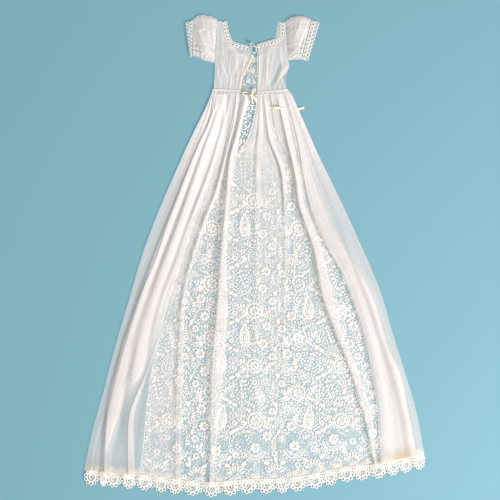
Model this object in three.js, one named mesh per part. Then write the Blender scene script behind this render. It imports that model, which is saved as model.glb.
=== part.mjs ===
// A christening gown laid flat with its back up: a gathered net skirt over a lace front panel, a
// drawn net bodice, short puffed sleeves, rosette lace along the hem and a ribbon at the waist.
// Millimetres. +X is right, +Y is towards the neck, +Z is up, and z = 0 is the surface it lies on.
import * as THREE from 'three';

// Driving sizes
const WALL = 1.2; // one layer of cloth
const SEAM = 0.3; // gap between pieces that are sewn together
const UPPER = WALL + SEAM; // underside of the layer that lies on the other
const WAIST_Y = 387.6; // top of the skirt
const SKIRT_LENGTH = 910; // waist to hem along the sides
const BAND_HEIGHT = 13; // waistband and waist casings
const NECK_LACE = 12; // width of the neck edging
const NECK_PICOT = 1.6; // how far every other point of its edge steps back
const NECK_STEP = 0.04; // share of a neckline over which its direction is taken
const ROSETTE_DEPTH = 34; // hem edging of the back, from the net to the tip of a rosette
const FRONT_DEPTH = 32; // hem edging of the front
const PICOTS = 12; // loops along a cuff
const PICOT_REACH = 1.6; // how far a cuff's loops stand out
const SLEEVE_GATHERS = 7;
const SLEEVE_RISE = 0.8; // gathers of a sleeve over its puff
const RIBBON_WIDTH = 6;
const RIBBON_WALL = 1;
const NECK_TIE_WIDTH = 2.4;

// Sides of the flat skirt: left and right X at a drop below the waist
const SIDES = [
  { drop: 0, left: -103, right: 89 },
  { drop: 36, left: -118, right: 104 },
  { drop: 101, left: -150, right: 131 },
  { drop: 149, left: -172, right: 151 },
  { drop: 264, left: -222, right: 204 },
  { drop: 379, left: -266, right: 254 },
  { drop: 494, left: -300, right: 300 },
  { drop: 610, left: -334, right: 333 },
  { drop: 725, left: -364, right: 367 },
  { drop: 811, left: -388, right: 390 },
  { drop: 910, left: -409, right: 407 },
];

// Seams of the lace front panel with the net beside it
const LACE_SEAMS = [
  { drop: 0, left: -88, right: 71 },
  { drop: 86, left: -100, right: 95 },
  { drop: 254, left: -138, right: 140 },
  { drop: 374, left: -172, right: 190 },
  { drop: 494, left: -210, right: 238 },
  { drop: 614, left: -239, right: 270 },
  { drop: 734, left: -258, right: 290 },
  { drop: 854, left: -270, right: 303 },
  { drop: 910, left: -277, right: 310 },
];

// Centre back: the left edge of the opening, and how far the placket slit stands open
const CENTRE_BACK = [
  { drop: 0, edge: -10.8, open: 12 },
  { drop: 22, edge: -13.2, open: 16.8 },
  { drop: 50, edge: -24, open: 22.8 },
  { drop: 86, edge: -33.6, open: 22.8 },
  { drop: 115, edge: -38, open: 14 },
  { drop: 140, edge: -39.5, open: 0 },
  { drop: 205, edge: -46.8, open: 0 },
  { drop: 301, edge: -54, open: 0 },
  { drop: 397, edge: -58.8, open: 0 },
  { drop: 494, edge: -63.6, open: 0 },
  { drop: 614, edge: -68.4, open: 0 },
  { drop: 734, edge: -78, open: 0 },
  { drop: 830, edge: -85.2, open: 0 },
  { drop: 910, edge: -94.8, open: 0 },
];

// Length of the skirt, waist to hem, at a share of the way across
const HEM = [
  { across: 0, length: 903 },
  { across: 0.18, length: 917 },
  { across: 0.37, length: 932 },
  { across: 0.48, length: 925 },
  { across: 0.58, length: 923 },
  { across: 0.68, length: 912 },
  { across: 0.77, length: 896 },
  { across: 0.86, length: 888 },
  { across: 1, length: 864 },
];

// Long folds of the back: where each crest runs and how high it stands, and how far its sides reach
const FOLDS = [
  {
    steep: 0.012,
    gentle: 0.028,
    crest: [
      { drop: 0, across: 0.1, rise: 1 },
      { drop: 118, across: 0.088, rise: 2 },
      { drop: 303, across: 0.069, rise: 3 },
      { drop: 481, across: 0.045, rise: 3.5 },
      { drop: 734, across: 0.035, rise: 4 },
      { drop: 910, across: 0.06, rise: 4 },
    ],
  },
  {
    steep: 0.018,
    gentle: 0.035,
    crest: [
      { drop: 0, across: 0.15, rise: 1.5 },
      { drop: 303, across: 0.128, rise: 4 },
      { drop: 481, across: 0.09, rise: 4.5 },
      { drop: 597, across: 0.08, rise: 4.5 },
      { drop: 910, across: 0.11, rise: 4 },
    ],
  },
  {
    steep: 0.014,
    gentle: 0.02,
    crest: [
      { drop: 0, across: 0.24, rise: 1 },
      { drop: 125, across: 0.235, rise: 2 },
      { drop: 186, across: 0.222, rise: 2.5 },
      { drop: 303, across: 0.182, rise: 3 },
      { drop: 393, across: 0.163, rise: 3 },
      { drop: 481, across: 0.135, rise: 3 },
      { drop: 558, across: 0.13, rise: 3 },
      { drop: 680, across: 0.14, rise: 3 },
      { drop: 910, across: 0.16, rise: 2.5 },
    ],
  },
  {
    steep: 0.012,
    gentle: 0.02,
    crest: [
      { drop: 0, across: 0.32, rise: 1.5 },
      { drop: 132, across: 0.31, rise: 2 },
      { drop: 205, across: 0.296, rise: 3 },
      { drop: 299, across: 0.254, rise: 3.5 },
      { drop: 391, across: 0.227, rise: 3.5 },
      { drop: 500, across: 0.212, rise: 3 },
      { drop: 600, across: 0.228, rise: 3 },
      { drop: 734, across: 0.245, rise: 2.5 },
      { drop: 910, across: 0.27, rise: 1.5 },
    ],
  },
  {
    steep: 0.012,
    gentle: 0.034,
    crest: [
      { drop: 0, across: 0.42, rise: 1.5 },
      { drop: 98, across: 0.376, rise: 4 },
      { drop: 151, across: 0.352, rise: 5 },
      { drop: 264, across: 0.359, rise: 8 },
      { drop: 374, across: 0.358, rise: 8 },
      { drop: 497, across: 0.354, rise: 8 },
      { drop: 619, across: 0.352, rise: 8 },
      { drop: 734, across: 0.358, rise: 6 },
      { drop: 910, across: 0.372, rise: 4 },
    ],
  },
  {
    steep: 0.02,
    gentle: 0.02,
    crest: [
      { drop: 0, across: 0.6, rise: 1.5 },
      { drop: 264, across: 0.53, rise: 3 },
      { drop: 910, across: 0.49, rise: 1.2 },
    ],
  },
  {
    steep: 0.014,
    gentle: 0.026,
    crest: [
      { drop: 0, across: 0.66, rise: 1.5 },
      { drop: 105, across: 0.66, rise: 3 },
      { drop: 167, across: 0.704, rise: 4 },
      { drop: 233, across: 0.7, rise: 3 },
      { drop: 400, across: 0.654, rise: 0.5 },
      { drop: 910, across: 0.6, rise: 0 },
    ],
  },
  {
    steep: 0.012,
    gentle: 0.034,
    crest: [
      { drop: 0, across: 0.82, rise: 1.5 },
      { drop: 98, across: 0.806, rise: 4 },
      { drop: 204, across: 0.792, rise: 6 },
      { drop: 266, across: 0.771, rise: 8 },
      { drop: 374, across: 0.787, rise: 8.5 },
      { drop: 485, across: 0.775, rise: 8.5 },
      { drop: 558, across: 0.794, rise: 8.5 },
      { drop: 667, across: 0.828, rise: 8 },
      { drop: 815, across: 0.847, rise: 6 },
      { drop: 910, across: 0.858, rise: 4 },
    ],
  },
  {
    steep: 0.012,
    gentle: 0.03,
    crest: [
      { drop: 0, across: 0.9, rise: 1.5 },
      { drop: 264, across: 0.833, rise: 3 },
      { drop: 374, across: 0.853, rise: 4 },
      { drop: 503, across: 0.889, rise: 4.5 },
      { drop: 600, across: 0.903, rise: 4.5 },
      { drop: 706, across: 0.897, rise: 4.5 },
      { drop: 910, across: 0.876, rise: 4 },
    ],
  },
  {
    steep: 0.016,
    gentle: 0.022,
    crest: [
      { drop: 0, across: 0.965, rise: 1 },
      { drop: 408, across: 0.945, rise: 3 },
      { drop: 650, across: 0.965, rise: 4 },
      { drop: 910, across: 0.965, rise: 3 },
    ],
  },
];
const GATHER_RISE = 2.6; // waist gathers of the back, at the waist
const GATHER_FADE = 120; // drop over which they fade to a third
const FLUTE_RISE = 1.1; // soft flutes that run on to the hem

// Sections down the back skirt, close together below the waist
const BACK_SECTIONS = [0, 14, 34, 64, 100, 140, 200, 280, 370, 460, 560, 660, 760, 850, 910];
const GATHERS_LEFT = 10; // gathers drawn into each half at the waist
const GATHERS_RIGHT = 14;

// Lace of the front panel: an all-over repeat in columns, every other one half a repeat lower and
// turned over. Its open gaps, from the middle of a repeat, with half of each gap's width and height
const REPEAT_WIDTH = 104;
const REPEAT_HEIGHT = 132;
const REPEAT_Y = -34; // middle of the repeat whose round medallion lies at the origin
const GAPS = [
  { x: -21, y: 53, wide: 6.5, tall: 4, turn: 35 },
  { x: 24, y: 51, wide: 7, tall: 4.5, turn: -35 },
  { x: 13, y: 4, wide: 7, tall: 4.5, turn: 0 },
  { x: -14, y: 5, wide: 7, tall: 4.5, turn: 0 },
  { x: 44, y: 29, wide: 4.5, tall: 4.5, turn: 0 },
  { x: 20, y: -22, wide: 4.5, tall: 7, turn: 0 },
  { x: 32, y: -25, wide: 4.5, tall: 7, turn: 0 },
  { x: 28, y: -61, wide: 7, tall: 3.5, turn: 0 },
  { x: -26, y: -60, wide: 7, tall: 3.5, turn: 0 },
  { x: -40, y: 57, wide: 6.5, tall: 4, turn: 0 },
  { x: -28, y: -28, wide: 4.5, tall: 8, turn: 8 },
];
const GAP_SIDES = 5;
const GAPS_FROM = 190; // drop of the first gaps, below the closest gathers
const GAP_MARGIN = 13; // from a gap's middle to the panel's seams and hem

// Back bodice, left of the opening: its X from the side to the neck or opening, at a height
const BODICE_BACK_LEFT = [
  { y: 562, side: -88.9, inner: -78 },
  { y: 541, side: -90.1, inner: -74.4 },
  { y: 520, side: -91.4, inner: -68.4 },
  { y: 505, side: -92.4, inner: -56.4 },
  { y: 498, side: -92.8, inner: -39.6 },
  { y: 493, side: -93.2, inner: -20.4 },
  { y: 488, side: -93.5, inner: -9.4 },
  { y: 474, side: -94.4, inner: -3 },
  { y: 460, side: -95.3, inner: -10.5 },
  { y: 445, side: -95, inner: -18 },
  { y: 426, side: -96, inner: -28.8 },
  { y: 401, side: -97.2, inner: -32.4 },
];
const BODICE_BACK_RIGHT = [
  { y: 561, side: 75.6, inner: 72 },
  { y: 546, side: 76.2, inner: 72 },
  { y: 524, side: 77.4, inner: 69.6 },
  { y: 512, side: 78, inner: 58.8 },
  { y: 505, side: 78.4, inner: 37.2 },
  { y: 500, side: 78.7, inner: 20.4 },
  { y: 495, side: 79, inner: 8.2 },
  { y: 470, side: 80.2, inner: 6 },
  { y: 454, side: 84, inner: 6 },
  { y: 436, side: 76, inner: 6 },
  { y: 429, side: 67, inner: 6 },
  { y: 412, side: 73.5, inner: 6 },
  { y: 401, side: 75.6, inner: 6.5 },
];
const BODICE_GATHERS = 7;
const BODICE_RISE = 1.3;
const BODICE_DIP_LEFT = 3; // how much lower the waist seam lies at the opening than at the side
const BODICE_DIP_RIGHT = 8.5;

// Front bodice, face down: half of its outline runs up the left side, the rest down the right
const BODICE_FRONT = [
  [-97.2, 401], [-94.9, 440], [-95.3, 460], [-92.2, 514], [-88.9, 562.5], [-78, 562.5], [-73.2, 534],
  [-63.6, 503], [-44.4, 479], [-20.4, 467], [3.6, 465.6], [27.6, 474], [49.2, 498], [62.4, 527],
  [68.4, 561], [75.6, 561.5], [78, 512], [80.2, 469], [84, 454], [76, 436], [67, 429], [73.5, 412],
  [75.6, 401],
];
const FRONT_NECK_FROM = 5; // first and last points of the neckline in that outline
const FRONT_NECK_TO = 14;

// Necklines of the back, from the shoulder to the opening
const NECK_LEFT = [
  [-78, 561.5], [-74.4, 541], [-68.4, 520], [-56.4, 505], [-39.6, 498], [-20.4, 493], [-9.8, 488.6],
];
const NECK_RIGHT = [
  [8.2, 495.3], [20.4, 500], [37.2, 505], [58.8, 512], [69.6, 524], [72, 546], [72, 560.5],
];

// Sleeves from armhole to cuff: the two turned edges of the flat tube and the height of its puff
const SLEEVE_LEFT = [
  { topX: -89.3, topY: 565, bottomX: -95.8, bottomY: 461.5, puff: 4 },
  { topX: -100, topY: 572.5, bottomX: -108, bottomY: 465.5, puff: 9 },
  { topX: -113, topY: 576.5, bottomX: -121, bottomY: 468.5, puff: 12 },
  { topX: -127, topY: 577.5, bottomX: -132, bottomY: 473, puff: 12 },
  { topX: -139, topY: 574, bottomX: -142, bottomY: 477, puff: 9 },
  { topX: -147, topY: 566, bottomX: -149, bottomY: 480, puff: 5 },
];
const SLEEVE_RIGHT = [
  { topX: 76.2, topY: 563.5, bottomX: 81, bottomY: 468.5, puff: 4 },
  { topX: 84, topY: 569, bottomX: 89, bottomY: 470, puff: 9 },
  { topX: 97, topY: 574, bottomX: 95, bottomY: 470.5, puff: 12 },
  { topX: 110, topY: 575, bottomX: 101, bottomY: 470, puff: 12 },
  { topX: 124, topY: 572, bottomX: 107, bottomY: 469.8, puff: 9 },
  { topX: 136, topY: 566, bottomX: 112, bottomY: 469.5, puff: 5 },
];
const CUFF_LEFT = [
  { topX: -147.4, topY: 566, bottomX: -149.4, bottomY: 480, puff: 5 },
  { topX: -167, topY: 559.5, bottomX: -155, bottomY: 475, puff: 3.4 },
];
const CUFF_RIGHT = [
  { topX: 136.4, topY: 566, bottomX: 112.4, bottomY: 469.5, puff: 5 },
  { topX: 157.4, topY: 559.5, bottomX: 129, bottomY: 466.8, puff: 3.4 },
];
const TUBE_EDGE = 2 * WALL + SEAM; // height of a flat tube at its turned edges

// Gaps in the lace of the front bodice, where the back stands open
const BODICE_GAPS = [
  { x: -22, y: 412, wide: 4, tall: 3, turn: 20 },
  { x: -10, y: 410, wide: 4, tall: 3, turn: -10 },
  { x: 0, y: 416, wide: 3, tall: 4, turn: 0 },
  { x: -16, y: 424, wide: 4, tall: 3.5, turn: 40 },
  { x: -3, y: 430, wide: 3.5, tall: 4, turn: 0 },
  { x: -8, y: 442, wide: 3.5, tall: 4, turn: 15 },
  { x: 1, y: 448, wide: 3, tall: 4, turn: 0 },
];

// Waist bow: its outline from the knot round both loops and the short end, and the loops' eyes
const BOW = [
  [-13, 388.6], [-17, 388.2], [-25, 388.8], [-30, 392], [-30.6, 397], [-27, 400.4], [-21, 399], [-15, 395],
  [-12, 393.8], [-8, 394.2], [-5, 399], [-1.4, 403], [3, 403.4], [5.2, 400], [4.4, 395.6], [0, 391],
  [-4.8, 387.6], [-3.2, 380], [-3, 368.6], [-8, 366.8], [-9, 378], [-9.8, 387.4],
];
const BOW_EYES = [
  [[-18, 391.2], [-24.4, 391.8], [-27, 395], [-25.6, 397.4], [-20, 395.4]],
  [[-5, 393.4], [-0.4, 395.6], [1.8, 399], [-0.6, 399.8], [-4, 396.4]],
];
const BOW_WALL = 1.6;
const FRONT_ROSETTES = 19;
const LEFT_ROSETTES = 7;
const RIGHT_ROSETTES = 12;
const TAPE_WIDTH = 9; // cream tape of the left back opening
const TAPE_FROM = 6; // first row of the left back that it lies on

// Routes of the ties
const NECK_TIE = [
  [-9, 497, 4.3], [-7, 489.5, 4.3], [-2.4, 485.4, 4.3], [2.6, 487.2, 4.3], [4.6, 492.6, 4.3],
  [3.4, 499, 4.3], [-0.4, 503.6, 4.3], [-4.6, 508.6, 4.6], [-9, 509.4, 5.4], [-10.4, 505.4, 6.4],
  [-6.6, 502.6, 7.2], [-1.6, 502, 7.4], [2.8, 501.4, 7.2], [6.6, 499.4, 5.6], [10.4, 498.6, 4.4],
];
const RIBBON = [
  [-6, 385, 3.6], [-1, 378, 6.2], [6, 369, 8.8], [16, 361.5, 9.6], [30, 357, 9.6], [45, 354.6, 9.4],
  [60, 354, 9.2], [74, 352, 9], [86, 350, 8.6], [96, 349.6, 7], [104, 351, 4.4], [112, 353.4, 1.2],
  [119, 355.4, 0.3],
];

// Value of a table's column where another column has the value at, on a smooth curve
function lookup(rows, by, column, at) {
  const last = rows.length - 1;
  if (at <= rows[0][by]) return rows[0][column];
  if (at >= rows[last][by]) return rows[last][column];
  const i = rows.findIndex((row) => row[by] > at) - 1;
  const slope = (k) => {
    const before = rows[Math.max(k - 1, 0)];
    const after = rows[Math.min(k + 1, last)];
    return (after[column] - before[column]) / (after[by] - before[by]);
  };
  const step = rows[i + 1][by] - rows[i][by];
  const t = (at - rows[i][by]) / step;
  const ease = t * t * (3 - 2 * t);
  const value = rows[i][column] + ease * (rows[i + 1][column] - rows[i][column]);
  return value + step * t * (1 - t) * ((1 - t) * slope(i) - t * slope(i + 1));
}

const mix = (a, b, t) => a + (b - a) * t;

// A closed solid from points and triangles, its faces turned out
function solid(points, triangles) {
  let volume = 0;
  for (const [a, b, c] of triangles) {
    const across = new THREE.Vector3().crossVectors(points[b], points[c]);
    volume += points[a].dot(across);
  }
  const faces = volume > 0 ? triangles : triangles.map(([a, b, c]) => [a, c, b]);
  const geometry = new THREE.BufferGeometry().setFromPoints(points);
  geometry.setIndex(faces.flat());
  geometry.computeVertexNormals();
  return geometry;
}

// A cloth wall whose underside is place(u, v), with u across and v down, each from 0 to 1. Both of
// its sides are split along the same diagonals, so that they never meet where the cloth is folded
function wall(columns, rows, place, thickness = WALL) {
  const points = [];
  const triangles = [];
  const layer = (columns + 1) * (rows + 1);
  for (const lift of [0, thickness]) {
    for (let j = 0; j <= rows; j += 1) {
      for (let i = 0; i <= columns; i += 1) {
        const [x, y, z] = place(i / columns, j / rows);
        points.push(new THREE.Vector3(x, y, z + lift));
      }
    }
  }
  const at = (i, j) => j * (columns + 1) + i;
  const quad = (a, b, c, d) => triangles.push([a, b, c], [a, c, d]);
  const rim = (a, b) => quad(a, b, b + layer, a + layer);
  for (let j = 0; j < rows; j += 1) {
    for (let i = 0; i < columns; i += 1) {
      quad(at(i, j), at(i + 1, j), at(i + 1, j + 1), at(i, j + 1));
      quad(layer + at(i, j), layer + at(i, j + 1), layer + at(i + 1, j + 1), layer + at(i + 1, j));
    }
  }
  for (let i = 0; i < columns; i += 1) {
    rim(at(i + 1, 0), at(i, 0));
    rim(at(i, rows), at(i + 1, rows));
  }
  for (let j = 0; j < rows; j += 1) {
    rim(at(0, j), at(0, j + 1));
    rim(at(columns, j + 1), at(columns, j));
  }
  return solid(points, triangles);
}

// A flat wall from an outline, with gaps cut through
function slab(outline, gaps = [], thickness = WALL) {
  const line = outline.map(([x, y]) => new THREE.Vector2(x, y));
  const shape = new THREE.Shape(THREE.ShapeUtils.isClockWise(line) ? line.reverse() : line);
  shape.holes = gaps.map((gap) => new THREE.Path(gap.map(([x, y]) => new THREE.Vector2(x, y))));
  return new THREE.ExtrudeGeometry(shape, { depth: thickness, bevelEnabled: false });
}

// A rounded gap as a polygon
function gapOutline(gap, x, y, flip = 1) {
  const turn = THREE.MathUtils.degToRad(gap.turn);
  return [...Array(GAP_SIDES).keys()].map((k) => {
    const angle = (2 * Math.PI * k) / GAP_SIDES;
    const point = new THREE.Vector2(gap.wide * Math.cos(angle), gap.tall * Math.sin(angle));
    point.rotateAround(new THREE.Vector2(), turn);
    return [x + flip * (gap.x + point.x), y + gap.y + point.y];
  });
}

// Point at a share of a line's length, counted in its own points
function along(line, share) {
  const place = share * (line.length - 1);
  const i = Math.min(Math.floor(place), line.length - 2);
  return line[i].map((value, k) => mix(value, line[i + 1][k], place - i));
}

// Point at a share of the way across a line that runs in X
function acrossLine(line, share) {
  const x = mix(line[0][0], line[line.length - 1][0], share);
  const i = Math.min(Math.max(line.findIndex((point) => point[0] >= x), 1), line.length - 1);
  const t = (x - line[i - 1][0]) / (line[i][0] - line[i - 1][0]);
  return line[i].map((value, k) => mix(line[i - 1][k], value, t));
}

// Skirt: X of its sides, the share of the way across, and Y at a drop
const sideX = (side, drop) => lookup(SIDES, 'drop', side, drop);
const shareAcross = (x, drop) => (x - sideX('left', drop)) / (sideX('right', drop) - sideX('left', drop));
const skirtY = (x, drop) => {
  const length = lookup(HEM, 'across', 'length', shareAcross(x, drop));
  return WAIST_Y - SEAM - (drop * length) / SKIRT_LENGTH;
};

// Height of the long folds over the flat skirt
function foldRise(across, drop) {
  let rise = 0;
  for (const fold of FOLDS) {
    const off = across - lookup(fold.crest, 'drop', 'across', drop);
    const reach = off < 0 ? fold.steep : fold.gentle;
    const near = Math.max(0, 1 - Math.abs(off) / reach);
    rise += lookup(fold.crest, 'drop', 'rise', drop) * near * near * (3 - 2 * near);
  }
  return rise;
}

// One half of the gathered back, from edge to edge, and its hem as a line of points
function backSkirt(fromX, toX, gathers) {
  const rows = BACK_SECTIONS.length - 1;
  const place = (u, v) => {
    const drop = BACK_SECTIONS[Math.round(v * rows)];
    const x = mix(fromX(drop), toX(drop), u);
    const crest = 0.5 - 0.5 * Math.cos(2 * Math.PI * gathers * u);
    const flute = 0.5 - 0.5 * Math.cos(Math.PI * gathers * u);
    const gather = GATHER_RISE * Math.exp(-drop / GATHER_FADE) * crest;
    const rise = foldRise(shareAcross(x, drop), drop) + gather + FLUTE_RISE * flute;
    return [x, skirtY(x, drop), UPPER + rise];
  };
  const columns = 2 * gathers;
  const hem = [];
  for (let i = 0; i <= columns; i += 1) hem.push(place(i / columns, 1));
  return { geometry: wall(columns, rows, place), hem };
}

// Rosette lace below a hem line: rounded lobes, each of six steps
function rosettes(hem, count, depth, restsAt) {
  const steps = 6;
  const place = (u, v) => {
    const [x, y, z] = acrossLine(hem, u);
    const t = ((u * count) % 1) * 2 - 1;
    const lobe = 0.45 + 0.55 * Math.sqrt(Math.max(0, 1 - t * t));
    return [x, y - SEAM - v * depth * lobe, mix(z, restsAt, 0.7 * v)];
  };
  return wall(steps * count, 1, place);
}

// Back bodice between its side and its neck or opening, drawn into soft gathers, with its waist
// seam lower at the opening
function bodiceBack(rows, dip) {
  const down = rows.length - 1;
  const place = (u, v) => {
    const row = rows[Math.round(v * down)];
    const crest = 0.5 - 0.5 * Math.cos(2 * Math.PI * BODICE_GATHERS * u);
    const width = Math.abs(row.inner - row.side);
    const soft = Math.min(1, width / 60);
    return [mix(row.side, row.inner, u), row.y - dip * u * v ** 6, UPPER + BODICE_RISE * crest * soft];
  };
  return wall(2 * BODICE_GATHERS, down, place);
}

// Lace band outside a neckline, with a small scallop at every other column
function neckEdging(neck, columns, z, turn) {
  const place = (u, v) => {
    const [x, y] = along(neck, u);
    const [beforeX, beforeY] = along(neck, Math.max(0, u - NECK_STEP));
    const [afterX, afterY] = along(neck, Math.min(1, u + NECK_STEP));
    const size = Math.hypot(afterX - beforeX, afterY - beforeY);
    const outX = (turn * (beforeY - afterY)) / size;
    const outY = (turn * (afterX - beforeX)) / size;
    const picot = Math.round(u * columns) % 2 ? NECK_PICOT : 0;
    const out = SEAM + v * (NECK_LACE - picot);
    return [x + outX * out, y + outY * out, z];
  };
  return wall(columns, 1, place);
}

// A flat-laid tube: stations run from one open end to the other, and the upper side puffs up
function flatTube(stations, gathers, rise, picot = 0) {
  const upper = 2 * gathers;
  const points = [];
  const triangles = [];
  stations.forEach((station, s) => {
    const top = new THREE.Vector3(station.topX, station.topY, 0);
    const bottom = new THREE.Vector3(station.bottomX, station.bottomY, 0);
    const inset = WALL / top.distanceTo(bottom);
    const outward = new THREE.Vector3(bottom.y - top.y, top.x - bottom.x, 0).normalize();
    const last = s === stations.length - 1;
    const section = (q, z, k) => {
      const point = new THREE.Vector3().lerpVectors(bottom, top, q).setZ(z);
      const tip = last && k % 2 ? picot : 0;
      return point.addScaledVector(outward, tip * Math.sign(stations[0].topX));
    };
    const height = (q) => mix(TUBE_EDGE, station.puff, Math.sin(Math.PI * q) ** 0.6);
    for (const inner of [false, true]) {
      const q0 = inner ? inset : 0;
      const floor = inner ? WALL : 0;
      for (let k = upper; k >= 0; k -= 1) points.push(section(mix(q0, 1 - q0, k / upper), floor, k));
      for (let k = 0; k <= upper; k += 1) {
        const q = k / upper;
        const crest = !inner && k % 2 ? rise : 0;
        const z = height(q) + crest - (inner ? WALL : 0);
        points.push(section(mix(q0, 1 - q0, q), z, k));
      }
    }
  });
  const loop = 2 * (upper + 1);
  const at = (s, inner, k) => (2 * s + inner) * loop + (k % loop);
  const quad = (a, b, c, d) => triangles.push([a, b, c], [a, c, d]);
  for (let k = 0; k < loop; k += 1) {
    for (let s = 0; s < stations.length - 1; s += 1) {
      quad(at(s, 0, k), at(s, 0, k + 1), at(s + 1, 0, k + 1), at(s + 1, 0, k));
      quad(at(s, 1, k), at(s + 1, 1, k), at(s + 1, 1, k + 1), at(s, 1, k + 1));
    }
    const end = stations.length - 1;
    quad(at(0, 0, k + 1), at(0, 0, k), at(0, 1, k), at(0, 1, k + 1));
    quad(at(end, 0, k), at(end, 0, k + 1), at(end, 1, k + 1), at(end, 1, k));
  }
  return solid(points, triangles);
}

// A flat ribbon along a route, lying level
function ribbon(route, width, thickness) {
  const curve = new THREE.CatmullRomCurve3(route.map((point) => new THREE.Vector3(...point)));
  const columns = 2 * route.length;
  const place = (u, v) => {
    const point = curve.getPoint(u);
    const ahead = curve.getTangent(u).setZ(0).normalize();
    const side = (0.5 - v) * width;
    return [point.x - ahead.y * side, point.y + ahead.x * side, point.z];
  };
  return wall(columns, 1, place, thickness);
}

// A round cord along a route
function cord(route, diameter) {
  const curve = new THREE.CatmullRomCurve3(route.map((point) => new THREE.Vector3(...point)));
  const section = new THREE.Shape();
  section.absarc(0, 0, diameter / 2, 0, 2 * Math.PI);
  return new THREE.ExtrudeGeometry(section, { steps: 26, extrudePath: curve, curveSegments: 4 });
}

const net = { color: 0xf0e9e4, roughness: 0.9, metalness: 0 };
const lace = { color: 0xf6f1e8, roughness: 0.85, metalness: 0 };
const satin = { color: 0xf7efc9, roughness: 0.45, metalness: 0 };
const tape = { color: 0xe9d9bb, roughness: 0.8, metalness: 0 };

const gown = new THREE.Group();
function piece(name, geometry, finish) {
  const mesh = new THREE.Mesh(geometry, new THREE.MeshStandardMaterial(finish));
  mesh.name = name;
  gown.add(mesh);
}

// Front of the skirt, which lies on the surface
const frontSections = [...Array(13).keys()].map((k) => (k * SKIRT_LENGTH) / 12);
const laceX = (side, drop) => lookup(LACE_SEAMS, 'drop', side, drop);
const frontRows = frontSections.length - 1;
function frontHemLine(fromX, toX, columns) {
  return [...Array(columns + 1).keys()].map((i) => {
    const x = mix(fromX(SKIRT_LENGTH), toX(SKIRT_LENGTH), i / columns);
    return [x, skirtY(x, SKIRT_LENGTH), 0];
  });
}
function flatGore(fromX, toX, columns) {
  const place = (u, v) => {
    const drop = frontSections[Math.round(v * frontRows)];
    const x = mix(fromX(drop), toX(drop), u);
    return [x, skirtY(x, drop), 0];
  };
  return { geometry: wall(columns, frontRows, place), hem: frontHemLine(fromX, toX, columns) };
}
const panelHem = frontHemLine((drop) => laceX('left', drop), (drop) => laceX('right', drop), 12);
const panelGaps = [];
for (let column = -3; column <= 3; column += 1) {
  for (let row = -4; row <= 3; row += 1) {
    const flip = column % 2 ? -1 : 1;
    const x = column * REPEAT_WIDTH;
    const y = REPEAT_Y + row * REPEAT_HEIGHT + (column % 2 ? REPEAT_HEIGHT / 2 : 0);
    for (const gap of GAPS) {
      const middle = x + flip * gap.x;
      const drop = WAIST_Y - (y + gap.y);
      const overHem = y + gap.y - skirtY(middle, SKIRT_LENGTH);
      const clear = Math.min(middle - laceX('left', drop), laceX('right', drop) - middle, overHem);
      if (clear > GAP_MARGIN && drop > GAPS_FROM) panelGaps.push(gapOutline(gap, x, y, flip));
    }
  }
}
const edge = (side) => frontSections.map((drop) => [laceX(side, drop), skirtY(laceX(side, drop), drop)]);
const panelOutline = [...edge('left'), ...panelHem.slice(1, -1), ...edge('right').reverse()];
const goreLeft = flatGore((drop) => sideX('left', drop), (drop) => laceX('left', drop) - SEAM, 4);
const goreRight = flatGore((drop) => laceX('right', drop) + SEAM, (drop) => sideX('right', drop), 3);
piece('skirt_front_lace', slab(panelOutline, panelGaps), lace);
piece('skirt_front_net_left', goreLeft.geometry, net);
piece('skirt_front_net_right', goreRight.geometry, net);
const frontHem = [...goreLeft.hem, ...panelHem, ...goreRight.hem];
piece('hem_edging_front', rosettes(frontHem, FRONT_ROSETTES, FRONT_DEPTH, 0), lace);

// Back of the skirt, in two halves
const centreX = (drop) => lookup(CENTRE_BACK, 'drop', 'edge', drop);
const slit = (drop) => SEAM + Math.max(0, lookup(CENTRE_BACK, 'drop', 'open', drop));
const backLeft = backSkirt((drop) => sideX('left', drop), centreX, GATHERS_LEFT);
const slitX = (drop) => centreX(drop) + slit(drop);
const backRight = backSkirt(slitX, (drop) => sideX('right', drop), GATHERS_RIGHT);
piece('skirt_back_left', backLeft.geometry, net);
piece('skirt_back_right', backRight.geometry, net);
piece('hem_edging_back_left', rosettes(backLeft.hem, LEFT_ROSETTES, ROSETTE_DEPTH, UPPER), lace);
piece('hem_edging_back_right', rosettes(backRight.hem, RIGHT_ROSETTES, ROSETTE_DEPTH, UPPER), lace);

// Waist bands on the skirt's top edge: X of both ends at the top and at the bottom, and the
// height at each end
function band(left, right, heights, z, thickness) {
  const place = (u, v) => {
    const x = mix(mix(left.top, left.bottom, v), mix(right.top, right.bottom, v), u);
    return [x, WAIST_Y + mix(heights[0], heights[1], u) * (1 - v), z];
  };
  return wall(6, 1, place, thickness);
}
const sideLeft = { top: -99, bottom: -103 };
const sideRight = { top: 77.5, bottom: 89 };
const openLeft = { top: -32.4, bottom: -32.4 };
const openRight = { top: 6.5, bottom: 6.5 };
const casingLeft = [BAND_HEIGHT, BAND_HEIGHT - BODICE_DIP_LEFT];
const casingRight = [BAND_HEIGHT - BODICE_DIP_RIGHT, BAND_HEIGHT];
piece('waistband_front', band(sideLeft, sideRight, [BAND_HEIGHT, BAND_HEIGHT], 0, WALL), net);
piece('waist_casing_back_left', band(sideLeft, openLeft, casingLeft, UPPER, 2 * WALL), net);
piece('waist_casing_back_right', band(openRight, sideRight, casingRight, UPPER, 2 * WALL), net);

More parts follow.
